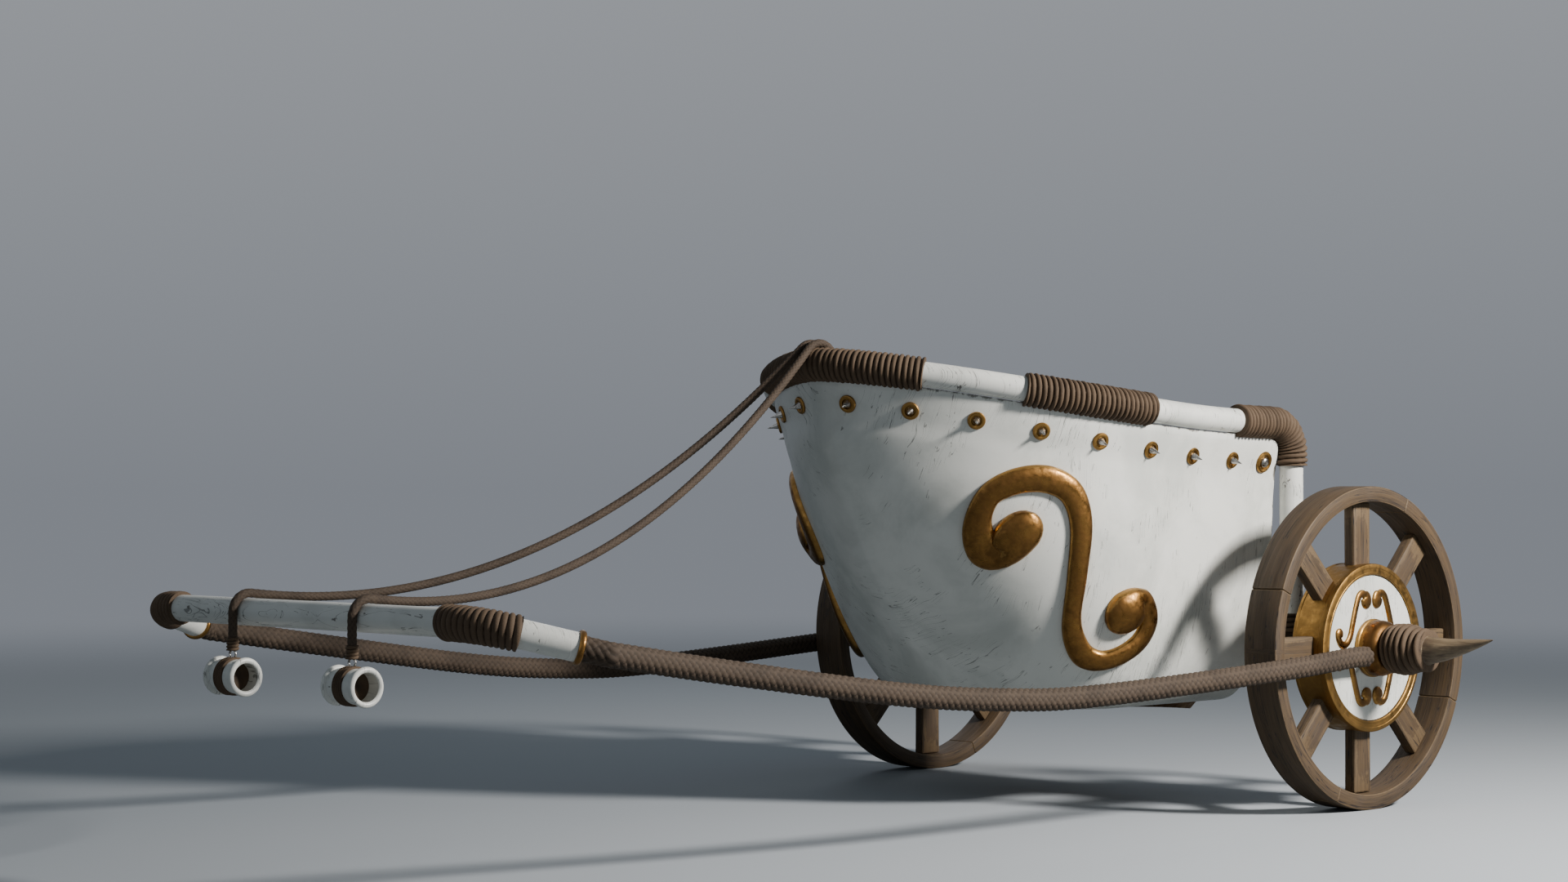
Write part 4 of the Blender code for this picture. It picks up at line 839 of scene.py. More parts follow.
def beam(name: str, low: Sequence[float], high: Sequence[float], bevel: float,
         cuts: int) -> bpy.types.Object:
    """A bar between two corners with bevelled edges.

    Args:
        name: the object's name.
        low: lowest corner.
        high: highest corner.
        bevel: width of its bevels.
        cuts: cuts across it in each direction, for shapes that bend later.

    Returns:
        The bar.
    """
    pick()
    middle = [(h + l) / 2 for l, h in zip(low, high)]
    bpy.ops.mesh.primitive_cube_add(size=1.0, location=middle)
    made = bpy.context.object
    made.name = name
    with editing(made):
        bpy.ops.transform.resize(value=[h - l for l, h in zip(low, high)], center_override=middle)
        bpy.ops.mesh.bevel(offset=bevel, segments=2, affect="EDGES")
        bpy.ops.mesh.select_all(action="SELECT")
        bpy.ops.mesh.subdivide(number_cuts=cuts)
    settle(made)
    return made


def settle(piece: bpy.types.Object) -> None:
    """Apply a piece's place to its mesh, so that its object sits at the origin."""
    piece.data.transform(piece.matrix_world)
    piece.matrix_world = Matrix.Identity(4)


def shift(piece: bpy.types.Object, x: float, y: float, z: float) -> None:
    """Move a piece's mesh."""
    piece.data.transform(Matrix.Translation((x, y, z)))


def join(name: str, parts: Sequence[bpy.types.Object]) -> bpy.types.Object:
    """Join pieces into one object.

    Args:
        name: the object's name.
        parts: the pieces.

    Returns:
        The joined object.
    """
    pick(*parts)
    bpy.ops.object.join()
    pick()
    parts[0].name = name
    return parts[0]


def discard(pieces: Iterable[bpy.types.Object]) -> None:
    """Remove pieces that only served as patterns."""
    for piece in pieces:
        bpy.data.objects.remove(piece, do_unlink=True)


def copied(piece: bpy.types.Object, name: str, move: Matrix) -> bpy.types.Object:
    """A copy of a piece with its own mesh, moved by a matrix.

    Args:
        piece: the piece that is copied.
        name: the copy's name.
        move: where the copy goes.

    Returns:
        The copy.
    """
    made = placed(name, piece.data.copy())
    made.data.transform(move)
    if move.determinant() < 0:
        made.data.flip_normals()
    return made


def mirrored(piece: bpy.types.Object) -> bpy.types.Object:
    """The same piece on the right side, mirrored and renamed."""
    return copied(piece, piece.name.replace("left", "right"), Matrix.Scale(-1.0, 4, (1.0, 0.0, 0.0)))


def mark_wear(piece: bpy.types.Object, angle: float = 0.30) -> None:
    """Write the wear attribute: 1 on the points of edges sharper than an angle, 0 elsewhere.

    Args:
        piece: the piece that is marked.
        angle: least angle between faces, in radians.
    """
    work = bmesh.new()
    work.from_mesh(piece.data)
    work.verts.ensure_lookup_table()
    sharp = [0.0] * len(work.verts)
    for edge in work.edges:
        if len(edge.link_faces) == 2 and edge.calc_face_angle(0.0) > angle:
            for vert in edge.verts:
                sharp[vert.index] = 1.0
    work.free()
    write(piece.data, "wear", sharp)


def write_grain(piece: bpy.types.Object, rule: Callable[[Vector], Sequence[float]]) -> None:
    """Write the grain attribute, whose first axis runs along the wood.

    Args:
        piece: the piece of wood.
        rule: gives a point's place along and across the grain.
    """
    write(piece.data, "grain", [value for vert in piece.data.vertices for value in rule(vert.co)],
          "FLOAT_VECTOR")


def apply_step(piece: bpy.types.Object, kind: str, **settings: object) -> None:
    """Add a modifier and apply it.

    Args:
        piece: the piece.
        kind: the modifier's type.
        settings: its properties.
    """
    step = piece.modifiers.new(kind.lower(), kind)
    for key, value in settings.items():
        setattr(step, key, value)
    pick(piece)
    bpy.ops.object.modifier_apply(modifier=step.name)
    pick()


def dress(piece: bpy.types.Object, finish: Finish, *nodes: str, body: str = "frame",
          slot: str | None = None, smooth: float | None = None) -> bpy.types.Object:
    """Set a finished piece into the frame with its material and body, and hide the nodes it stands for.

    Args:
        piece: the piece, its places still measured from the axle line.
        finish: its finish.
        nodes: CAD nodes that it replaces.
        body: the body that it rides on.
        slot: not used.
        smooth: angle in radians up to which its faces are smooth, where it isn't the finish's own.

    Returns:
        The piece.
    """
    shift(piece, 0.0, AXLE_Y, 0.0)
    pick(piece)
    bpy.ops.object.shade_smooth_by_angle(angle=smooth or finish.smooth)
    pick()
    if "wear" not in piece.data.attributes:
        mark_wear(piece)
    piece.data.materials.clear()
    piece.data.materials.append(finish.material())
    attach(piece, body)
    if nodes:
        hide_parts(*nodes)
    LOG.info("%s: %d faces, %s", piece.name, len(piece.data.polygons), finish.name)
    return piece


# The chariot's sub-assemblies


class Lamp(NamedTuple):
    """A square area lamp that faces a point."""

    name: str
    place: Triple
    aim: Triple
    size: float
    watts: float
    colour: Triple

    def build(self) -> None:
        """Hang the lamp."""
        data = bpy.data.lights.new(self.name, "AREA")
        data.size, data.energy, data.color = self.size, self.watts, self.colour
        made = placed(self.name, data)
        made.location = self.place
        made.rotation_euler = (Vector(self.aim) - Vector(self.place)).to_track_quat("-Z", "Y").to_euler()


@dataclass
class Studio:
    """Floor, lights and camera."""

    eye: Triple = (5.5449, -5.4723, 0.8937)
    azimuth: float = 46.227
    pitch: float = 0.944
    lens: float = 66.146
    sensor: float = 36.0
    far_clip: float = 200.0
    floor_radius: float = 30.0
    floor_sides: int = 96
    fade: tuple[float, float] = (3.6, 13.0)
    bounce: Triple = (0.205, 0.228, 0.245)
    shown: tuple[Triple, Triple] = ((0.430, 0.462, 0.502), (0.470, 0.500, 0.540))
    backdrop: tuple[Triple, Triple] = ((0.215, 0.232, 0.262), (0.385, 0.402, 0.428))
    backdrop_top: float = 0.28
    sky: float = 0.098
    sky_tint: Triple = (0.80, 0.99, 1.10)
    lamps: tuple[Lamp, ...] = (
        Lamp("key", (4.6, 1.65, 3.05), (0.0, -0.2, 0.6), 0.7, 550.0, (1.0, 0.965, 0.91)),
        Lamp("fill", (0.5, -7.0, 2.6), (0.0, 0.0, 0.6), 4.0, 18.0, (0.80, 0.89, 1.0)),
        Lamp("rim", (-4.5, 3.5, 3.4), (0.0, -0.3, 0.9), 2.0, 18.0, (0.86, 0.92, 1.0)))

    def build(self) -> None:
        """Make the camera first, then the lights, the sky and the floor."""
        self.camera()
        for lamp in self.lamps:
            lamp.build()
        self.world()
        self.floor()

    def camera(self) -> None:
        """The camera at the photograph's place."""
        data = bpy.data.cameras.new("camera")
        data.sensor_width, data.lens, data.clip_end = self.sensor, self.lens, self.far_clip
        made = placed("camera", data)
        made.location = self.eye
        made.rotation_euler = (math.radians(90.0 + self.pitch), 0.0, math.radians(self.azimuth))
        bpy.context.scene.camera = made

    def world(self) -> None:
        """A soft sky, with a grey sweep of backdrop where the camera, gloss or glass sees it."""
        made = bpy.data.worlds.new("studio_sky")
        made.use_nodes = True
        bpy.context.scene.world = made
        g, shader = Graph(made.node_tree), made.node_tree.nodes["Background"]
        path = g.add("LightPath").outputs
        seen = g.math("MAXIMUM", path["Is Camera Ray"], path["Is Glossy Ray"])
        seen = g.math("MAXIMUM", seen, path["Is Transmission Ray"])
        height = g.add("SeparateXYZ", {0: g.add("TexCoord").outputs["Generated"]}).outputs[2]
        backdrop = g.blend(g.ramp(height, ((0.0, 0.0), (self.backdrop_top, 1.0))), *self.backdrop)
        light = tuple(self.sky * c for c in self.sky_tint)
        g.feed(shader.inputs["Color"], g.blend(seen, light, backdrop))
        g.feed(shader.inputs["Strength"], 1.0)

    def floor(self) -> None:
        """A wide pale floor that fades into the backdrop far from the chariot."""
        bpy.ops.mesh.primitive_circle_add(vertices=self.floor_sides, radius=self.floor_radius,
                                          fill_type="NGON")
        made = bpy.context.object
        made.name = "studio_floor"
        face = bpy.data.materials.new("studio_floor")
        face.use_nodes = True
        g, nodes = Graph(face.node_tree), face.node_tree.nodes
        shader, output = nodes["Principled BSDF"], nodes["Material Output"]
        place = g.add("TexCoord").outputs["Object"]
        cloud = g.noise(g.stretch(place, (0.4, 0.4, 0.4)), 1.0, 3.0, 0.5)
        seen = g.add("LightPath").outputs["Is Camera Ray"]
        g.feed(shader.inputs["Specular IOR Level"], 0.2)
        g.feed(shader.inputs["Roughness"], 0.75)
        g.feed(shader.inputs["Base Color"], g.blend(seen, self.bounce, g.blend(cloud, *self.shown)))
        reach = g.add("VectorMath", {0: place}, operation="LENGTH").outputs["Value"]
        glow = g.add("Emission", {"Color": (*self.backdrop[0], 1.0), "Strength": 1.0}).outputs[0]
        mix = {0: g.spread(reach, *self.fade, "SMOOTHSTEP"), 1: shader.outputs[0], 2: glow}
        g.feed(output.inputs["Surface"], g.add("MixShader", mix).outputs[0])
        made.data.materials.append(face)


@dataclass
class Tub:
    """The scoop-shaped tub: its wall, floor boards and foot shoe."""

    half_width: float = 0.570
    nose: float = 1.2825
    shoulder: float = 0.495
    power_long: float = 2.3
    power_wide: float = 1.5
    bottom_z: float = 0.280
    wall: float = 0.014
    tuck_z: float = 1.035
    tuck_side: float = 0.225
    tuck_side_power: float = 2.6
    tuck_nose: float = 0.525
    tuck_nose_power: float = 1.20
    flare: float = 0.033
    flare_marks: tuple[tuple[float, float], ...] = ((0.0, 1.0), (0.020, 0.85), (0.095, 0.16), (0.160, 0.0))
    rear: float = -0.04025
    corner_y: float = -0.04915
    rail_corner: float = 0.090
    rail_rear_z: float = 1.080
    rail_climb: float = 0.1391
    rail_power: float = 2.3
    rail_seat: float = 0.0012
    rail_on_rim: float = 0.04795
    rail_foot_z: float = 0.945
    rim_rise: float = 0.0125
    rim_fade: float = 0.03
    depths: tuple[float, ...] = (0.0, 0.005, 0.010, 0.015, 0.020, 0.035, 0.055, 0.075, 0.095, 0.115,
                                 0.138, 0.160)
    row_step: float = 0.0036
    lower_rows: int = 30
    column_counts: tuple[int, int, int] = (60, 10, 6)
    rim_bevel: float = 0.0028
    bevel_angle: float = math.radians(55)
    floor_thickness: float = 0.018
    floor_margin: float = 0.012
    floor_seat: float = 0.0005
    plank_width: float = 0.118
    plank_gap: float = 0.0015
    edge_bevel: float = 0.002
    plate: float = 0.030
    plate_tip: float = 0.006

    def rail_height(self, y: float) -> float:
        """Height of the rail's centre line above a place along the chariot."""
        return self.rail_rear_z + self.rail_climb * (abs(y) / self.nose) ** self.rail_power

    def lip_height(self, y: float) -> float:
        """Height of the line that the wall's flare is measured down from."""
        return self.rail_height(y) - self.rail_on_rim

    def rim_height(self, y: float) -> float:
        """Height of the tub's top edge."""
        if y < -self.rail_corner:
            return self.lip_height(y)
        corner_z = self.rail_height(-self.rail_corner) - self.rail_corner
        if y > self.corner_y:
            share = (y - self.corner_y) / (self.rear - self.corner_y)
            return corner_z + (self.rail_foot_z - corner_z) * share
        room = self.rail_corner - self.rail_on_rim - self.rail_seat
        return corner_z + math.sqrt(max(room * room - (y + self.rail_corner) ** 2, 0.0))

    def tuck(self, z: float, power: float) -> float:
        """How far the wall has drawn in at a height, from 0 at the top to 1 at the bottom."""
        share = min(max((self.tuck_z - z) / (self.tuck_z - self.bottom_z), 0.0), 1.0)
        return 1 - (1 - share ** power) ** (1 / power)

    def lean(self, depth: float) -> float:
        """How far the wall leans out at a depth below the rim."""
        depths = [mark[0] for mark in self.flare_marks]
        return self.flare * float(np.interp(depth, depths, [mark[1] for mark in self.flare_marks]))

    def plan_size(self, z: float, lean: float) -> tuple[float, float]:
        """Half width and nose length of the plan at a height."""
        wide = self.half_width - self.tuck_side * self.tuck(z, self.tuck_side_power) + lean
        return wide, self.nose - self.shoulder - self.tuck_nose * self.tuck(z, self.tuck_nose_power) + lean

    def wall_x(self, y: float, z: float) -> float:
        """Half width of the outer face at a place along it and a height."""
        wide, long = self.plan_size(z, self.lean(self.lip_height(y) - z))
        ahead = max(-self.shoulder - y, 0.0) / long
        return wide * max(1 - ahead ** self.power_long, 0.0) ** (1 / self.power_wide)

    def wall_frame(self, y: float, z: float) -> tuple[Vector, Vector]:
        """Point and outward normal of the left outer face."""
        step = 0.004
        along = Vector((self.wall_x(y + step, z) - self.wall_x(y - step, z), 2 * step, 0.0))
        upward = Vector((self.wall_x(y, z + step) - self.wall_x(y, z - step), 0.0, 2 * step))
        return Vector((self.wall_x(y, z), y, z)), along.cross(upward).normalized()

    def columns(self) -> list[tuple[float, float | None]]:
        """Columns of the left half, from the nose to the rear edge."""
        bow, flank, rear = self.column_counts
        ahead, behind = self.shoulder - self.rail_corner, self.rail_corner + self.corner_y
        turns = [(QUARTER * (i / bow) ** 0.9, None) for i in range(bow)]
        sides = [(0.0, -self.shoulder + ahead * i / flank) for i in range(flank)]
        corner = [(0.0, -self.rail_corner + behind * i / rear) for i in range(rear + 1)]
        return turns + sides + corner + [(0.0, self.rear)]

    def column_point(self, turn: float, straight: float | None, z: float, lean: float) -> Vector:
        """A point of the left wall in a column."""
        wide, long = self.plan_size(z, lean)
        if straight is not None:
            return Vector((wide, straight, z))
        x = wide * math.sin(turn) ** (2 / self.power_wide)
        return Vector((x, -self.shoulder - long * math.cos(turn) ** (2 / self.power_long), z))

    def build(self) -> None:
        """Make the wall, the boards and the shoe."""
        dress(self.shell(), ENAMEL, "tub_shell")
        dress(self.boards(), OAK_DARK, "floor_board")
        dress(self.shoe(), GILT, "foot_shoe")

    def shell(self) -> bpy.types.Object:
        """The wall on a fine grid, given its thickness and a softened rim."""
        work = bmesh.new()
        halves: list[list[list[bmesh.types.BMVert]]] = [[], []]
        fade = (self.rail_corner, self.rail_corner + self.rim_fade)
        for number, (turn, straight) in enumerate(self.columns()):
            y = self.column_point(turn, straight, self.tuck_z, self.flare).y
            rim, lip = self.rim_height(y), self.lip_height(y)
            heights = [min(lip - depth, rim - self.row_step * k) for k, depth in enumerate(self.depths)]
            heights[0] += self.rim_rise * float(np.interp(-y, fade, (0, 1)))
            top = heights[-1]
            heights += [top - math.sin(QUARTER * k / self.lower_rows) * (top - self.bottom_z)
                        for k in range(1, self.lower_rows + 1)]
            points = [self.column_point(turn, straight, z, self.lean(lip - z)) for z in heights]
            left = [work.verts.new(p) for p in points]
            halves[0].append(left)
            halves[1].append(left if number == 0 else [work.verts.new((-p.x, p.y, p.z)) for p in points])
        for half in halves:
            for a, b in zip(half, half[1:]):
                for k in range(len(a) - 1):
                    work.faces.new((a[k], a[k + 1], b[k + 1], b[k]))
        for (a, b), (c, d) in zip(*(zip(half, half[1:]) for half in halves)):
            work.faces.new(list(dict.fromkeys((a[-1], b[-1], d[-1], c[-1]))))
        bmesh.ops.recalc_face_normals(work, faces=work.faces[:])
        middle = halves[0][sum(self.column_counts[:2])][len(heights) // 2]
        middle.normal_update()
        if middle.normal.x < 0:
            bmesh.ops.reverse_faces(work, faces=work.faces[:])
        mesh = bpy.data.meshes.new("tub_wall")
        work.to_mesh(mesh)
        work.free()
        made = placed("tub_wall", mesh)
        apply_step(made, "SOLIDIFY", thickness=self.wall, offset=-1.0, use_even_offset=True)
        apply_step(made, "BEVEL", width=self.rim_bevel, segments=2, limit_method="ANGLE",
                   angle_limit=self.bevel_angle)
        return made

    def boards(self) -> bpy.types.Object:
        """Loose planks that follow the tub's plan, with a gap between neighbours."""
        low = self.bottom_z + self.wall + self.floor_seat
        wide, long = (size - self.floor_margin for size in self.plan_size(self.bottom_z, 0.0))
        start, stop = -1.0, self.rear - self.floor_margin
        count = round(2 * wide / self.plank_width)
        planks = []
        for i in range(count):
            x0 = -wide + 2 * wide * i / count + self.plank_gap
            x1 = -wide + 2 * wide * (i + 1) / count - self.plank_gap
            plank = beam(f"plank_{i}", (x0, start, low), (x1, stop, low + self.floor_thickness),
                         self.edge_bevel, 5)
            for vert in plank.data.vertices:
                ahead = min(abs(vert.co.x) / wide, 1.0)
                front = -self.shoulder - long * (1 - ahead ** self.power_wide) ** (1 / self.power_long)
                share = (vert.co.y - self.rear) / (start - self.rear)
                vert.co.y = self.rear + (front - self.rear) * share
            write_grain(plank, lambda p, i=i: (p.y + i * 3.1, p.x + i * 0.37, p.z))
            planks.append(plank)
        return join("floor_planks", planks)

    def shoe(self) -> bpy.types.Object:
        """The thin gilt shoe under the rear of the tub, tapering forwards."""
        low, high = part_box("foot_shoe")
        rear, front = high[1] - AXLE_Y, low[1] - AXLE_Y
        made = beam("foot_plate", (-high[0], front, high[2] - self.plate), (high[0], rear, high[2]),
                    self.edge_bevel, 6)
        for vert in made.data.vertices:
            share = (rear - vert.co.y) / (rear - front)
            thick = self.plate_tip + (self.plate - self.plate_tip) * (1 - share) ** 2
            depth = (high[2] - vert.co.z) / self.plate
            vert.co.z = high[2] - depth * thick
            vert.co.x *= (1 - 0.25 * share * share) * (1 - depth * thick / high[0])
        return made


@dataclass
class Rail:
    """The bent rail round the tub's rim, its cord wraps and the lashings at its feet."""

    tub: Tub
    radius: float = 0.03375
    half_width: float = 0.603
    corner: float = 0.090
    cord: float = 0.013
    pitch: float = 0.0152
    foot_z: float = 0.4783
    wrap_foot_z: float = 0.955
    wrap_nose: float = -1.185
    wrap_middle: tuple[float, float] = (-0.632, -0.996)
    wrap_rear_end: float = -0.262
    lashing_height: float = 0.065
    cord_seat: float = 0.0004
    steps: tuple[int, int, int] = (24, 40, 160)
    step: float = 0.006

    def half_path(self) -> np.ndarray:
        """The left half of the centre line, from the axle to the nose."""
        tub, wide, corner = self.tub, self.half_width, self.corner
        corner_steps, side_steps, nose_steps = self.steps
        corner_z = tub.rail_height(-corner) - corner
        points = [(wide, 0.0, self.foot_z), (wide, 0.0, self.wrap_foot_z)]
        for i in range(corner_steps + 1):
            turn = QUARTER * i / corner_steps
            points.append((wide, -corner * (1 - math.cos(turn)), corner_z + corner * math.sin(turn)))
        for i in range(1, side_steps):
            y = -corner - (tub.shoulder - corner) * i / side_steps
            points.append((wide, y, tub.rail_height(y)))
        long = tub.nose - tub.shoulder + tub.flare
        for i in range(nose_steps, -1, -1):
            turn = QUARTER * i / nose_steps
            y = -tub.shoulder - long * math.cos(turn) ** (2 / tub.power_long)
            points.append((wide * math.sin(turn) ** (2 / tub.power_wide), y, tub.rail_height(y)))
        return resampled(np.array(points), self.step)

    def build(self) -> None:
        """Make the rail, its five wraps and its two lashings."""
        half = self.half_path()
        along, up = half[:, 1], half[:, 2]
        dress(sweep("rail_bar", both_halves(half), self.radius, BAR_SIDES), ENAMEL_RAIL, "rail")
        level = up > self.wrap_foot_z + 0.1
        self.wrap("rail_cord_nose", both_halves(half[level & (along < self.wrap_nose)]), "rail_wrap_nose")
        start, stop = self.wrap_middle
        middle = half[level & (along < start) & (along > stop)]
        rear = half[(up > self.wrap_foot_z) & (along > self.wrap_rear_end)]
        foot = half[up < self.foot_z + self.lashing_height]
        for side in Side:
            self.wrap(f"rail_cord_{side.word}_middle", middle * side.flip, f"rail_wrap_{side.word}_middle")
            self.wrap(f"rail_cord_{side.word}_rear", rear * side.flip, f"rail_wrap_{side.word}_rear")
            self.wrap(f"foot_lashing_{side.word}", foot * side.flip, f"axle_lashing_{side.word}")

    def wrap(self, name: str, path: np.ndarray, node: str) -> None:
        """One stretch of cord wound round the rail.

        Args:
            name: the piece's name.
            path: the stretch of the rail's centre line.
            node: the CAD node that it replaces.
        """
        cord = winding(name, path, self.radius + self.cord_seat, self.cord, self.pitch)
        dress(cord, CORD, node)


STUD_SHAPES: dict[str, tuple[Profile, int]] = {
    "stud_washer": (((-0.0015, 0.0236), (0.0022, 0.0245), (0.0056, 0.0226), (0.0068, 0.0186),
                     (0.0058, 0.0146), (0.0018, 0.0124), (0.0010, 0.0)), 36),
    "stud_spike": (((0.0008, 0.0), (0.0008, 0.0100), (0.0052, 0.0105), (0.0066, 0.0096),
                    (0.0200, 0.0050), (0.0362, 0.0007), (0.0370, 0.0)), 28),
    "stud_nut": (((-0.0260, 0.0), (-0.0260, 0.0080), (-0.0225, 0.0098), (-0.0190, 0.0098),
                  (-0.0190, 0.0)), 6),
    "rivet_rim": (((-0.0015, 0.0306), (0.0026, 0.0316), (0.0068, 0.0292), (0.0080, 0.0250),
                   (0.0062, 0.0206), (0.0022, 0.0190), (0.0010, 0.0)), 44),
    "rivet_dome": (((0.0008, 0.0), (0.0008, 0.0150), (0.0055, 0.0152), (0.0092, 0.0132),
                    (0.0118, 0.0090), (0.0128, 0.0042), (0.0130, 0.0)), 36)}


@dataclass
class Studs:
    """Spiked studs under the rail, a domed rivet at each rear corner and the band that they clench."""

    tub: Tub
    spacing: float = 0.178
    each_side: int = 8
    rivet_y: float = -0.107
    drop_rear: float = 0.113
    drop_nose: float = 0.098
    band_height: float = 0.024
    band_thickness: float = 0.004
    band_seat: float = 0.002
    band_step: float = 0.02
    band_trim: tuple[int, int] = (12, -60)
    line_points: int = 1500
    turn_each: float = 0.7

    def height(self, y: float) -> float:
        """Height of the row at a place along the chariot."""
        drop = self.drop_rear + (self.drop_nose - self.drop_rear) * -y / self.tub.nose
        return self.tub.rail_height(y) - drop

    def line(self) -> np.ndarray:
        """Fine points of the row on the left wall, from the nose to the rear."""
        ys = np.linspace(self.tub.rear, 0.0001 - self.tub.nose, self.line_points)[::-1]
        return np.array([(self.tub.wall_x(y, self.height(y)), y, self.height(y)) for y in ys])

    def places(self) -> list[tuple[float, float]]:
        """Places of one side's studs as (y, z) on the wall."""
        line = self.line()
        run = line[0, 0] + run_along(line)
        wanted = self.spacing * (np.arange(self.each_side) + 0.5)
        picks = [line[int(np.searchsorted(run, w))] for w in wanted]
        return [(float(p[1]), float(p[2])) for p in picks]

    def seat_matrix(self, y: float, z: float, turn: float) -> Matrix:
        """The matrix that sets a stud turned about X onto the wall."""
        here, normal = self.tub.wall_frame(y, z)
        spin = Matrix.Rotation(turn, 4, "X")
        return Matrix.Translation(here) @ normal.to_track_quat("X", "Z").to_matrix().to_4x4() @ spin

    def build(self) -> None:
        """Make one of each fitting, set copies along the left side and mirror them with the band."""
        tools = {name: turned(name, profile, sides) for name, (profile, sides) in STUD_SHAPES.items()}
        rows: dict[str, list[bpy.types.Object]] = {"rims": [], "points": [], "nuts": []}
        spots = [(*place, "stud_washer", "stud_spike") for place in self.places()]
        spots.append((self.rivet_y, self.height(self.rivet_y), "rivet_rim", "rivet_dome"))
        for k, (y, z, rim, point) in enumerate(spots):
            seat = self.seat_matrix(y, z, self.turn_each * k)
            for row, tool in zip(rows, (rim, point, "stud_nut")):
                rows[row].append(copied(tools[tool], f"{row}_{k}", seat))
        discard(tools.values())
        left = [join(f"stud_{row}_left", made) for row, made in rows.items()] + [self.band()]
        for piece, finish in zip(left, (GILT, STEEL, STEEL, GILT)):
            for side, made in zip(Side, (piece, mirrored(piece))):
                dress(made, finish, f"stud_band_{side.word}", smooth=0.6)

    def band(self) -> bpy.types.Object:
        """The gilt band inside the left wall, behind the studs."""
        inner = -(self.tub.wall + self.band_seat)
        rings = []
        for _, y, z in resampled(self.line()[slice(*self.band_trim)], self.band_step):
            here, normal = self.tub.wall_frame(float(y), float(z))
            up = (Z_AXIS - normal * normal.z).normalized()
            rings.append([tuple(here + normal * (inner - self.band_thickness * depth)
                                + up * (rise * self.band_height))
                          for rise, depth in ((-0.5, 0.0), (0.5, 0.0), (0.5, 1.0), (-0.5, 1.0))])
        girth = 2 * (self.band_height + self.band_thickness)
        return grid_object("stud_strap_left", np.array(rings), girth)


@dataclass
class Scroll:
    """An S-scroll in relief with a round boss at each end, laid on a surface."""

    knots: tuple[tuple[float, float], ...]
    big: float
    small: float
    width: float
    height: float
    seat: float
    step: float = 0.006
    arcs: int = 14
    crown: float = 1.35
    waist: float = 1.0
    tail: float = 1.0
    waist_marks: tuple[float, float, float] = (0.30, 0.62, 0.90)
    roundness: float = 0.72
    edge_share: float = 0.30
    cap_rings: int = 8

    @staticmethod
    def spread(surface: Surface, spot: Sequence[float]) -> float:
        """Metres on the surface for each metre of its first flat coordinate."""
        step = 0.003
        ahead, behind = (surface(float(spot[0]) + move, float(spot[1]))[0] for move in (step, -step))
        return max((ahead - behind).length / (2 * step), 1.0)

    def bulge(self, fall: float) -> float:
        """Height of a ball's crown where its width has come down to a share."""
        return self.height * self.crown * (self.edge_share + (1 - self.edge_share) * fall)

    def cap(self, surface: Surface, tip: np.ndarray, after: np.ndarray,
            ball: float) -> list[tuple[np.ndarray, float, float]]:
        """The round end beyond a tip.

        Args:
            surface: gives the point and normal at flat coordinates.
            tip: the curve's end.
            after: the point next to it.
            ball: radius of the end.

        Returns:
            Centre, half width and rise of each ring, from outside in.
        """
        out = (tip - after) / np.hypot(*((tip - after) * (self.spread(surface, tip), 1.0)))
        rows = []
        for share in np.sin(np.linspace(0.05, 1.0, self.cap_rings) * math.pi / 2)[::-1] * 0.985:
            fall = math.sqrt(1 - share * share)
            rows.append((tip + out * ball * share, ball * fall, self.bulge(fall)))
        return rows

    def build(self, name: str, surface: Surface) -> bpy.types.Object:
        """Make the scroll.

        Args:
            name: its name.
            surface: gives the point and normal at flat coordinates.

        Returns:
            The scroll.
        """
        curve = resampled(smooth_through(self.knots), self.step)
        run = run_along(curve)
        rows = self.cap(surface, curve[0], curve[1], self.big)
        for point, along in zip(curve, run):
            narrow = np.interp(along / run[-1], self.waist_marks, (1.0, self.waist, self.tail))
            half, rise = self.width / 2 * float(narrow), self.height
            for ball, gone in ((self.big, along), (self.small, run[-1] - along)):
                if gone < ball:
                    fall = math.sqrt(1 - (gone / ball) ** 2)
                    half, rise = max(half, ball * fall), max(rise, self.bulge(fall))
            rows.append((point, half, rise))
        rows += self.cap(surface, curve[-1], curve[-2], self.small)[::-1]
        path, halves, rises = zip(*rows)
        soft = np.convolve(np.pad(rises, 2, mode="edge"), np.ones(5) / 5, mode="valid")
        angles = [math.pi * k / self.arcs for k in range(self.arcs + 1)]
        rings = []
        for point, t, half, rise in zip(path, directions(np.array(path)), halves, soft):
            spread = self.spread(surface, point)
            aside = np.array((-t[1] / spread, t[0] * spread)) / math.hypot(t[0] * spread, t[1])
            arc = [(half * math.cos(angle), rise * math.sin(angle) ** self.roundness) for angle in angles]
            ring = []
            for move, lift in (*arc, (-half / 2, 0.0), (0.0, 0.0)):
                here, normal = surface(*map(float, point + aside * move))
                ring.append(tuple(here + normal * (self.seat + lift)))
            rings.append(ring)
        return grid_object(name, np.array(rings), self.width * 2.4)


@dataclass
class SideScrolls:
    """The gilt scrolls on the tub's two sides."""

    tub: Tub
    knots: tuple[tuple[float, float], ...] = (
        (-0.942, 0.769), (-0.955, 0.714), (-0.992, 0.732), (-1.023, 0.803), (-1.019, 0.877),
        (-0.971, 0.914), (-0.903, 0.918), (-0.840, 0.883), (-0.805, 0.802), (-0.792, 0.669),
        (-0.773, 0.538), (-0.730, 0.456), (-0.683, 0.426), (-0.629, 0.439), (-0.578, 0.481),
        (-0.562, 0.539), (-0.600, 0.593), (-0.644, 0.559))

    def build(self) -> None:
        """Make the left scroll and its mirror image."""
        shape = Scroll(self.knots, big=0.067, small=0.060, width=0.073, height=0.022, seat=0.0006,
                       crown=1.75, waist=0.67, tail=0.80)
        left = shape.build("side_scroll_left", self.tub.wall_frame)
        for side, made in zip(Side, (left, mirrored(left))):
            dress(made, GILT, f"scroll_{side.word}", smooth=1.1)


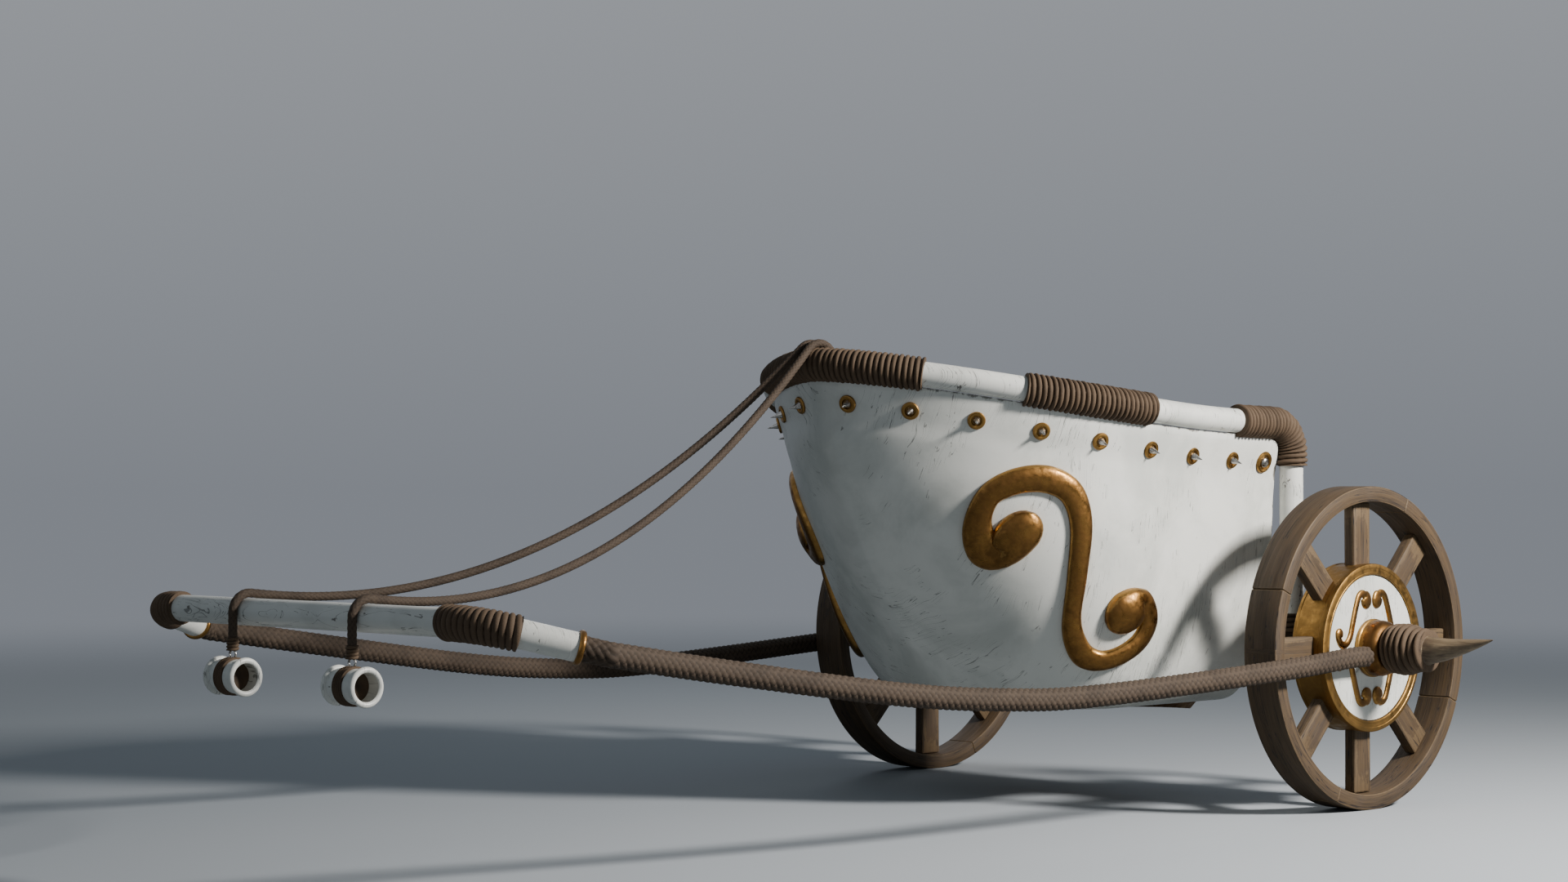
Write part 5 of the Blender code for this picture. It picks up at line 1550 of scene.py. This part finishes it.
@dataclass
class Wheel:
    """One wheel: four felloes, eight spokes, a nave, a gilt drum and a white disc with its scrolls."""

    radius: float = 0.450
    width: float = 0.106
    depth: float = 0.043
    bevel: float = 0.005
    centre_x: float = 0.827
    spoke_width: float = 0.079
    spoke_thickness: float = 0.034
    spokes: int = 8
    drum_radius: float = 0.2345
    drum_wall: float = 0.011
    disc_radius: float = 0.2035
    disc_thickness: float = 0.010
    disc_recess: float = 0.006
    bore: float = 0.0270
    knots: tuple[tuple[float, float], ...] = (
        (0.026, 0.132), (0.030, 0.145), (0.045, 0.152), (0.062, 0.143), (0.076, 0.112), (0.090, 0.072),
        (0.103, 0.034), (0.122, 0.014), (0.143, 0.015), (0.156, 0.030), (0.154, 0.043))
    felloes: int = 4
    felloe_start: float = 22.5
    felloe_steps: int = 49
    felloe_gap: float = 0.0009
    felloe_inset: float = 0.0022
    corners: tuple[tuple[str, int, int], ...] = (
        ("upper_front", 1, 1), ("upper_rear", -1, 1), ("lower_front", 1, -1), ("lower_rear", -1, -1))

    def build(self) -> None:
        """Make the left wheel's pieces and set a turned copy of each on the right."""
        pieces: list[tuple[bpy.types.Object, Finish, str, float | None]] = [
            *((self.felloe(i), OAK, f"felloe_{i + 1}", None) for i in range(self.felloes)),
            (self.spoke_set(), OAK, "spokes", None), (self.nave(), OAK_DARK, "spokes", 0.6),
            (self.drum(), GILT_WHEEL, "drum", None), (self.disc(), ENAMEL, "disc", 0.5),
            *((self.scroll(*corner), GILT, f"scroll_{corner[0]}", 1.1) for corner in self.corners)]
        for piece, finish, node, smooth in pieces:
            for side in Side:
                seat = side.seat(self.centre_x, self.radius)
                dress(copied(piece, piece.name.replace("part", side.word), seat), finish,
                      f"wheel_{side.word}_{node}", body=f"wheel_{side.word}", smooth=smooth)
        discard(piece for piece, *_ in pieces)

    @property
    def face(self) -> float:
        """Place of the disc's face along X, from the wheel's middle."""
        return self.width / 2 - self.disc_recess

    def felloe(self, index: int) -> bpy.types.Object:
        """A quarter of the rim, with rounded corners and its ends just apart from the next ones."""
        half, b = self.width / 2, self.bevel
        inner = self.radius - self.depth
        middle = (inner + self.radius) / 2
        section = []
        corners = ((inner, -half), (inner, half), (self.radius, half), (self.radius, -half))
        for k, (r, x) in enumerate(corners):
            out_r, out_x = (1 if r > inner else -1), (1 if x > 0 else -1)
            arc = [(r - out_r * b * (1 - math.sin(t)), x - out_x * b * (1 - math.cos(t)))
                   for t in (0.0, math.pi / 4, QUARTER)]
            section += arc if k in (0, 2) else arc[::-1]
            if k in (1, 3):
                section.append((middle, x))
        section.insert(3, (inner, 0.0))
        gap, inset = self.felloe_gap / self.radius, self.felloe_inset / self.radius
        first = math.radians(self.felloe_start + 90 * index) + gap
        last = math.radians(self.felloe_start + 90 * (index + 1)) - gap
        inside = np.linspace(first + 2 * inset, last - 2 * inset, self.felloe_steps)
        angles = [first, first + inset, *inside, last - inset, last]
        rings = []
        for angle in angles:
            tall, broad = (0.92, 0.968) if angle in (first, last) else (1.0, 1.0)
            radii = [(middle + (r - middle) * tall, x * broad) for r, x in section]
            rings.append([(x, -r * math.cos(angle), r * math.sin(angle)) for r, x in radii])
        made = grid_object(f"wheel_part_rim_{index + 1}", np.array(rings), 0.3)
        mark_wear(made, 0.5)
        write_grain(made, lambda p: (math.atan2(p.z, -p.y) % TAU * self.radius + index * 2.7,
                                     math.hypot(p.y, p.z), p.x + 0.37 * index))
        return made

    def spoke_set(self) -> bpy.types.Object:
        """The eight spokes, each with its own grain."""
        bars = []
        low, high = 0.06, math.sqrt((self.radius - self.depth) ** 2 - (self.spoke_width / 2) ** 2) - 0.0006
        for i in range(self.spokes):
            half_w, half_t = self.spoke_width / 2, self.spoke_thickness / 2
            bar = beam(f"spoke_{i}", (-half_t, -half_w, low), (half_t, half_w, high), 0.0045, 3)
            for vert in bar.data.vertices:
                share = (vert.co.z - low) / (high - low)
                vert.co.y *= 1 - 0.035 * math.sin(math.pi * share)
            write_grain(bar, lambda p, i=i: (p.z + i * 1.9, p.y + i * 0.41, p.x))
            mark_wear(bar, 0.25)
            bar.data.transform(Matrix.Rotation(TAU * i / self.spokes, 4, "X"))
            bars.append(bar)
        return join("wheel_part_spoke_set", bars)

    def nave(self) -> bpy.types.Object:
        """The wooden nave behind the disc."""
        rear, front = -self.width / 2 + 0.003, self.face - self.disc_thickness - 2 * TOUCH
        edge = self.drum_radius - self.drum_wall - 2 * TOUCH
        profile = ((rear + 0.003, edge), (rear, edge - 0.003), (rear, 0.090), (rear - 0.0015, 0.086),
                   (rear - 0.0015, 0.040), (rear, 0.036), (rear, self.bore), (front, self.bore),
                   (front, edge))
        made = turned("wheel_part_nave", profile, 64, closed=True)
        write_grain(made, lambda p: (p.z, p.y, p.x))
        return made

    def drum(self) -> bpy.types.Object:
        """The gilt hoop round the nave, with a rolled lip in front."""
        rear, front = -self.width / 2 + 0.001, self.width / 2
        out, lip, wall = self.drum_radius, self.disc_radius, self.drum_radius - self.drum_wall
        groove, step = out - 0.0015, front - self.disc_recess - self.disc_thickness
        profile = ((rear, wall), (rear, out - 0.002), (rear + 0.002, out), (rear + 0.010, out),
                   (rear + 0.012, groove), (front - 0.020, groove), (front - 0.018, out),
                   (front - 0.005, out), (front - 0.0015, groove), (front, out - 0.005),
                   (front, out - 0.012), (front - 0.0012, out - 0.0135), (front - 0.0012, lip + 0.0075),
                   (front, lip + 0.006), (front, lip + 0.002), (front - 0.002, lip), (step, lip),
                   (step, wall))
        return turned("wheel_part_hoop", profile, 96, closed=True)

    def disc(self) -> bpy.types.Object:
        """The white disc with a soft edge and a bore."""
        face, back, edge = self.face, self.face - self.disc_thickness, self.disc_radius - 0.0005
        profile = ((back, self.bore), (back, edge), (face - 0.002, edge), (face - 0.0004, edge - 0.0012),
                   (face, edge - 0.004), (face, self.bore))
        return turned("wheel_part_face", profile, 96, closed=True)

    def scroll(self, where: str, ahead: int, up: int) -> bpy.types.Object:
        """One small scroll on the disc.

        Args:
            where: its corner's name.
            ahead: 1 for the front, -1 for the rear.
            up: 1 for the top, -1 for the bottom.

        Returns:
            The scroll.
        """
        shape = Scroll(self.knots, big=0.023, small=0.016, width=0.021, height=0.007, seat=0.0002,
                       step=0.0028, arcs=10, crown=1.25)
        return shape.build(f"wheel_part_curl_{where}", lambda forward, height: (
            Vector((self.face, -forward * ahead, height * up)), Vector((1.0, 0.0, 0.0))))


@dataclass
class Axle:
    """The square axle with its round arms, and at each end a boss, a wrapped core and a horn."""

    wheel: Wheel
    beam: float = 0.056
    arm: float = 0.026
    boss_start: float = 0.0476
    boss_radius: float = 0.081
    boss_length: float = 0.064
    cord: float = 0.0165
    pitch: float = 0.0180
    loops: int = 6
    core: float = 0.047
    swell: float = 0.010
    horn_length: float = 0.200
    horn_base: float = 0.038
    horn_lift: float = 0.036
    horn_power: float = 1.4
    horn_taper: float = 0.85
    dirt_reach: float = 0.06

    def build(self) -> None:
        """Make the axle, then the left end and its turned copy."""
        dress(self.bar(), OAK_DARK, "axle", smooth=0.6)
        start = self.boss_start + self.boss_length + TOUCH
        length = self.pitch * self.loops + self.cord
        share = np.linspace(0.0, 1.0, 60)
        core = self.core + self.swell * np.sin(math.pi * np.minimum(share * 1.25, 1.0)) - 0.004 * share
        wrap = winding("end_wrap_left", on_axis(start + share * length), core, self.cord + 0.0010,
                       self.pitch * 0.985, 48, 14)
        pieces = ((self.boss(), GILT_WHEEL, "boss"), (wrap, CORD, "axle_wrap"),
                  (self.horn(start + length), HORN, "horn"))
        for piece, finish, node in pieces:
            for side in Side:
                name = piece.name.replace("left", side.word) + "_end"
                made = copied(piece, name, side.seat(self.wheel.centre_x, self.wheel.radius))
                dress(made, finish, f"{node}_{side.word}")
        discard(piece for piece, *_ in pieces)

    def bar(self) -> bpy.types.Object:
        """The axle: a bevelled beam between the wheels and a round arm through each."""
        half = self.wheel.centre_x - self.wheel.width / 2 + 0.002
        low, z = -self.beam / 2, self.wheel.radius
        middle = beam("axle_beam", (-half, low, z + low), (half, -low, z - low), 0.004, 4)
        reach = self.wheel.centre_x + self.boss_start + self.boss_length
        arms = turned("axle_arms", ((-reach, 0.0), (-reach, self.arm), (reach, self.arm), (reach, 0.0)),
                      BAR_SIDES)
        shift(arms, 0.0, 0.0, z)
        made = join("axle_timber", (middle, arms))
        write_grain(made, lambda p: (p.x, p.y, p.z))
        mark_wear(made, 0.25)
        return made

    def boss(self) -> bpy.types.Object:
        """The gilt boss that holds the wheel: a rounded cup with a step at its foot."""
        s, r, out = self.boss_start, self.boss_radius, self.boss_start + self.boss_length
        bore, front = self.arm + 0.0005, out - 0.0002
        curve = [(out - 0.030 * (1 - math.sin(t)), r - 0.004 - 0.024 * (1 - math.cos(t)))
                 for t in np.linspace(0.0, QUARTER, 9)]
        profile = [(s, bore), (s, r - 0.001), (s + 0.002, r), (s + 0.010, r), (s + 0.0125, r - 0.003),
                   *curve, (front, r - 0.034), (front, bore)]
        return turned("boss_cup_left", profile, 72, closed=True)

    def horn(self, start: float) -> bpy.types.Object:
        """The spike beyond the wrap, which bends up and narrows to a sharp tip."""
        share, around = np.linspace(0.0, 1.0, 70), BAR_SIDES
        path = on_axis(start + 0.001 + self.horn_length * share)
        path[:, 2] = self.horn_lift * share ** self.horn_power
        radius = self.horn_base * (1 - share) ** self.horn_taper + 0.0008
        angle, along = np.arange(around)[None, :] * TAU / around, share[:, None]
        ridge = 1 + 0.022 * np.sin(3 * angle + 9 * along) * (1 - along)
        ridge = np.minimum(ridge + 0.012 * np.sin(7 * angle - 5 * along), 1.0)
        root = on_axis(np.array((start - self.pitch * self.loops, start)))
        reach = np.vstack((np.full((2, around), self.core - 0.006), radius[:, None] * ridge))
        made = sweep("spike_left", np.vstack((root, path)), reach, around)
        # The wear attribute runs from 1 at the horn's root to 0 a short way along it, and darkens the horn
        # there.
        write(made.data, "wear", [1 - min(max(v.co.x - start, 0.0) / self.dirt_reach, 1.0)
                                  for v in made.data.vertices])
        return made


@dataclass
class Yoke:
    """The white yoke bar with a cord wrap on each bend and a gilt ring at each end."""

    radius: float = 0.0326
    bar_y: float = 2.9475
    bar_z: float = 0.603
    end: tuple[float, float, float] = (0.7605, -2.7585, 0.549)
    bend_x: float = 0.648
    bend_radius: float = 0.170
    loops: int = 13
    cord: float = 0.0086
    pitch: float = 0.0138
    ring_length: float = 0.014
    ring_thickness: float = 0.007
    step: float = 0.008

    def half(self) -> tuple[np.ndarray, np.ndarray]:
        """The left bend's curve and the whole left half of the bar.

        Returns:
            Points of the bend and points from the middle to the end.
        """
        bar, bend, end = Vector((1, 0, 0)), Vector((self.bend_x, -self.bar_y, self.bar_z)), Vector(self.end)
        arm = (end - bend).normalized()
        angle = bar.angle(arm)
        first = bend - bar * (self.bend_radius * math.tan(angle / 2))
        inward = (arm - bar * arm.dot(bar)).normalized()
        centre = first + inward * self.bend_radius
        curve = [centre + (bar * math.sin(t) - inward * math.cos(t)) * self.bend_radius
                 for t in np.linspace(0.0, angle, 40)]
        points = [Vector((0.0, -self.bar_y, self.bar_z)), *curve, end]
        return np.array([tuple(p) for p in curve]), np.array([tuple(p) for p in points])

    def build(self) -> None:
        """Make the bar, its wraps and its rings."""
        bend, half = self.half()
        whole = both_halves(resampled(half, self.step)[::-1])[::-1]
        bar = sweep("yoke_bar", whole, self.radius, BAR_SIDES)
        dress(bar, ENAMEL_RAIL, "yoke")
        span = np.vstack((half[:1] * 0.2 + bend[:1] * 0.8, bend, bend[-1:] * 0.4 + half[-1:] * 0.6))
        even = resampled(span, 0.001)
        total, length = length_of(even), self.loops * self.pitch + self.cord
        begin = int((total - length) / 2 / total * len(even))
        stretch = even[begin:len(even) - begin]
        back = (half[-2] - half[-1]) / np.linalg.norm(half[-2] - half[-1])
        share = np.linspace(0.0, 1.0, 13)
        end = half[-1] + back * self.ring_length * share[:, None]
        bulge = self.radius + self.ring_thickness * (0.35 + 0.65 * np.sin(math.pi * share) ** 0.5)
        for side in Side:
            wrap = winding(f"yoke_cord_{side.word}", stretch * side.flip, self.radius + 0.0002, self.cord,
                           length / (self.loops + 1), per_turn=12)
            dress(wrap, CORD, f"yoke_wrap_{side.word}")
            ring = sweep(f"yoke_ferrule_{side.word}", end * side.flip, bulge, 48)
            dress(ring, GILT, f"yoke_ring_{side.word}", smooth=1.0)


@dataclass
class Shafts:
    """The two plaited shafts from the axle's bosses to the yoke's ends."""

    yoke: Yoke
    radius: float = 0.029
    start: tuple[float, float, float] = (0.912, -0.0813, 0.430)
    tail: float = 0.060
    route: tuple[tuple[float, float], ...] = ((-0.477, 0.408), (-1.170, 0.374), (-1.508, 0.380),
                                              (-1.845, 0.409), (-2.336, 0.478))
    strands: int = 8
    diamond: float = 0.0205

    def path(self) -> np.ndarray:
        """The left shaft's centre line."""
        head, end = Vector(self.start), Vector(self.yoke.end)
        arm = (Vector((self.yoke.bend_x, -self.yoke.bar_y, self.yoke.bar_z)) - end).normalized()
        knots = [head - Vector((0.0, self.tail, 0.0))]
        first = self.route[0][0]
        for y, z in self.route:
            share = (y - first) / (end.y - first)
            knots.append(Vector((head.x + (end.x - head.x) * share, y, z)))
        knots.append(end - arm * self.tail)
        curve = smooth_through([tuple(k) for k in knots], 40)
        return np.vstack((np.array([tuple(head)]), curve, np.array([tuple(end - arm * 0.0005)])))

    def build(self) -> None:
        """Make the left shaft and its mirror image."""
        path = self.path()
        for side in Side:
            made, _ = rope(f"shaft_rope_{side.word}", path * side.flip, self.radius, self.strands,
                           self.diamond, 64)
            dress(made, ROPE, f"shaft_{side.word}")


@dataclass
class Reins:
    """The reins: two limp ropes from a binding over rail and yoke to their cuffs, and a hand loop."""

    yoke: Yoke
    radius: float = 0.011
    near: float = 0.016
    far: float = 0.240
    sag: float = 0.205
    rise: float = 0.060
    rail_seat: tuple[float, float] = (-1.3116, 1.2265)
    rail_ride: float = 0.05845
    top: tuple[float, float, float] = (0.0, -1.2075, 1.030)
    slope: float = 0.45
    binding_length: float = 0.110
    binding_radii: tuple[float, float] = (0.031, 0.021)
    hang: float = 0.150
    cuff_radius: float = 0.040
    cuff_length: float = 0.120
    cuff_wall: float = 0.006
    cuff_bead: float = 0.007
    stub: float = 0.020
    loop_length: float = 0.190
    loop_width: float = 0.150
    loop_radius: float = 0.0095
    loop_neck: float = 0.035
    loop_bend: float = 0.039
    grip_length: float = 0.058
    ring_radii: tuple[float, float] = (0.0125, 0.0030)
    ring_squash: float = 0.86
    plaits: tuple[tuple[int, float], tuple[int, float]] = ((6, 0.0150), (5, 0.0125))
    whipping: tuple[float, float] = (0.0036, 0.0056)
    knot: tuple[float, float] = (0.0055, 0.0085)
    lashing: tuple[float, float] = (0.0058, 0.0068)
    lashing_half: float = 0.017

    def axis(self) -> np.ndarray:
        """Direction in which the binding and the hand loop hang."""
        line = np.array((0.0, self.slope, -1.0))
        return line / np.linalg.norm(line)

    def arc(self, centre: tuple[float, float], x: float, radius: float, first: float,
            last: float) -> np.ndarray:
        """Points of an arc over a bar that runs across.

        Args:
            centre: the bar's centre as (y, z).
            x: place across the chariot.
            radius: the arc's radius.
            first: angle at its start.
            last: angle at its end.

        Returns:
            The points.
        """
        t = np.linspace(first, last, 16)
        y, z = centre[0] + radius * np.cos(t), centre[1] + radius * np.sin(t)
        return np.stack((np.full_like(t, x), y, z), axis=1)

    def route(self) -> np.ndarray:
        """The left rein's centre line: over the rail, one sag, over the yoke and down."""
        bar, rail = (-self.yoke.bar_y, self.yoke.bar_z), self.rail_seat
        ride, drop = self.yoke.radius + self.radius + 0.0007, 4 * self.sag
        leave = meet = QUARTER
        for _ in range(8):
            start = self.arc(rail, self.near, self.rail_ride, 0.0, leave)[-1]
            stop = self.arc(bar, self.far, ride, meet, math.pi)[0]
            run = stop - start
            leave, meet = (math.atan2(-run[1], run[2] + change) for change in (-drop, drop))
        top = np.array(self.top) + (self.near, 0.0, 0.0)
        first = self.arc(rail, self.near, self.rail_ride, 0.2, leave)
        last = self.arc(bar, self.far, ride, meet, math.pi)
        share = np.linspace(0.0, 1.0, 40)[1:-1, None]
        free = start + run * share
        free[:, 2] -= (drop * share * (1 - share))[:, 0]
        hung = self.yoke.bar_z - self.hang + self.cuff_radius + self.stub
        end = np.array([[self.far, last[-1, 1], hung]])
        return np.vstack((top[None], (top - self.axis() * self.rise)[None], first, free, last, end))

    def loop(self) -> np.ndarray:
        """The hand loop's centre line, with its corners turned as arcs."""
        axis, across = Vector(self.axis()), Vector((1, 0, 0))
        start = Vector(self.top) + axis * (self.binding_length + TOUCH)
        half, root = self.loop_width / 2, self.loop_radius + 0.0006
        foot = start + axis * self.loop_length
        right = [start + across * root, start + across * root + axis * self.loop_neck,
                 start + across * half + axis * (self.loop_neck + half), foot + across * half]
        knots = right + [Vector((-p.x, p.y, p.z)) for p in right[::-1]]
        path = [knots[0]]
        for before, corner, after in zip(knots, knots[1:], knots[2:]):
            a, b = (before - corner).normalized(), (after - corner).normalized()
            open_half = a.angle(b) / 2
            centre = corner + (a + b).normalized() * (self.loop_bend / math.sin(open_half))
            reach = self.loop_bend / math.tan(open_half)
            first, last = ((corner + arm * reach - centre).normalized() for arm in (a, b))
            path += [centre + first.slerp(last, i / 10) * self.loop_bend for i in range(11)]
        return np.array([tuple(p) for p in path + [knots[-1]]])

    def build(self) -> None:
        """Make both reins with their cuffs, the binding, the hand loop and its grip."""
        top, axis = np.array(self.top), self.axis()
        binding = winding("rein_whipping", np.array([top - axis * 0.002, top + axis * self.binding_length]),
                          np.array(self.binding_radii) - 0.0035, *self.whipping, 36)
        dress(binding, CORD, "rein_binding")
        for side in Side:
            self.rein(side)
        path = self.loop()
        made, centres = rope("rein_loop", path, self.loop_radius, *self.plaits[1], BAR_SIDES)
        dress(made, ROPE, "rein_hand_loop")
        grip = self.grip(top + axis * (self.binding_length + TOUCH + self.loop_length))
        self.cord(made, centres, path, self.loop_radius, "object", [grip])

    def cord(self, made: bpy.types.Object, centres: np.ndarray, path: np.ndarray, radius: float,
             far_end: str, extra: list[bpy.types.Object]) -> None:
        """Measure a rope's centre line and gather the pieces that go with it; the results are not kept.

        Args:
            made: the rope; not used.
            centres: its ring centres, measured from the axle line; not used.
            path: its centre line.
            radius: its radius; not used.
            far_end: what its far end meets; not used.
            extra: pieces that go with it.
        """
        length_of(path)
        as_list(extra)

    def grip(self, foot: np.ndarray) -> bpy.types.Object:
        """The leather sleeve on the hand loop's foot, swelling in the middle with rolled ends."""
        share = np.linspace(0.0, 1.0, 41)
        bead = np.exp(-((share - 0.06) / 0.05) ** 2) + np.exp(-((share - 0.94) / 0.05) ** 2)
        radius = self.loop_radius + 0.0026 + 0.0012 * np.sin(math.pi * share) + 0.0014 * bead
        radius[0] = radius[-1] = self.loop_radius - 0.0005
        made = sweep("grip_sleeve", foot + on_axis((share - 0.5) * self.grip_length), radius, 36)
        return dress(made, HIDE, "rein_grip")

    def rein(self, side: Side) -> None:
        """One rein with the knot, ring, cuff and lashing on its end."""
        route = self.route() * side.flip
        made, centres = rope(f"rein_rope_{side.word}", route, self.radius, *self.plaits[0], 36)
        dress(made, ROPE, f"rein_{side.word}")
        end, fine = route[-1], resampled(route, 0.004)
        knot = winding(f"rein_knot_{side.word}", fine[-9:], self.radius - 0.001, *self.knot, 32, 12)
        dress(knot, CORD)
        cuff = self.cuff(side, end)
        middle = end - (0.0, 0.0, self.cuff_radius + self.stub)
        waist = middle + on_axis(np.array((-self.lashing_half, self.lashing_half)))
        lashing = winding(f"cuff_lashing_{side.word}", waist, self.cuff_radius - 0.0005, *self.lashing,
                          64, 12)
        dress(lashing, CORD)
        extra = [knot, cuff, lashing, self.ring(side, end)]
        if side is Side.LEFT:
            extra.append(self.ferrule(fine))
        self.cord(made, centres, route, self.radius, "fitting", extra)

    def ferrule(self, fine: np.ndarray) -> bpy.types.Object:
        """The white ferrule on the left rein, just above the binding."""
        path = fine[2:14]
        radius = self.radius + 0.0022 + 0.001 * (np.linspace(0.0, 1.0, len(path)) < 0.2)
        radius[0] = radius[-1] = self.radius - 0.001
        return dress(sweep("rein_ferrule", path, radius, 32), ENAMEL_RAIL, smooth=0.8)

    def ring(self, side: Side, end: np.ndarray) -> bpy.types.Object:
        """The steel ring that ties the rope to its cuff."""
        pick()
        major, minor = self.ring_radii
        bpy.ops.mesh.primitive_torus_add(major_radius=major, minor_radius=minor, major_segments=48,
                                         minor_segments=16, rotation=(QUARTER, 0.0, 0.0))
        made = bpy.context.object
        made.name = f"cuff_ring_{side.word}"
        with editing(made):
            bpy.ops.transform.resize(value=(1.0, 1.0, self.ring_squash), center_override=(0.0, 0.0, 0.0))
        settle(made)
        shift(made, end[0], end[1], end[2] - self.stub / 2 + 0.002)
        return dress(made, STEEL, slot="enamel", smooth=1.0)

    def cuff(self, side: Side, end: np.ndarray) -> bpy.types.Object:
        """The white cuff: a sleeve with rolled rims and a dark groove inside each."""
        half, r, bead = self.cuff_length / 2, self.cuff_radius, self.cuff_bead
        rim = [(half - bead + bead * math.cos(t), r - 0.001 + bead * math.sin(t))
               for t in np.linspace(-1.15, 2.7, 12)]
        outer = rim + [(half - 2.1 * bead, r - 0.0015), (half - 2.6 * bead, r)]
        edge, inner = half - bead * 0.8, r - self.cuff_wall
        profile = [(-edge, inner), *((-x, rr) for x, rr in outer), *outer[::-1], (edge, inner)]
        made = turned(f"cuff_sleeve_{side.word}", profile, 72, closed=True)
        shift(made, end[0], end[1], end[2] - r - self.stub)
        return dress(made, ENAMEL_CUFF, f"cuff_{side.word}")


def main() -> None:
    """Build the chariot's looks and report each sub-assembly."""
    logging.basicConfig(level=logging.INFO, format="%(message)s", stream=sys.stdout)
    Studio().build()
    tub, yoke, wheel = Tub(), Yoke(), Wheel()
    for part in (Reins(yoke), Shafts(yoke), yoke, tub, Rail(tub), Studs(tub), SideScrolls(tub), wheel,
                 Axle(wheel)):
        LOG.info("%s", type(part).__name__)
        part.build()


if __name__ == "__main__":
    main()
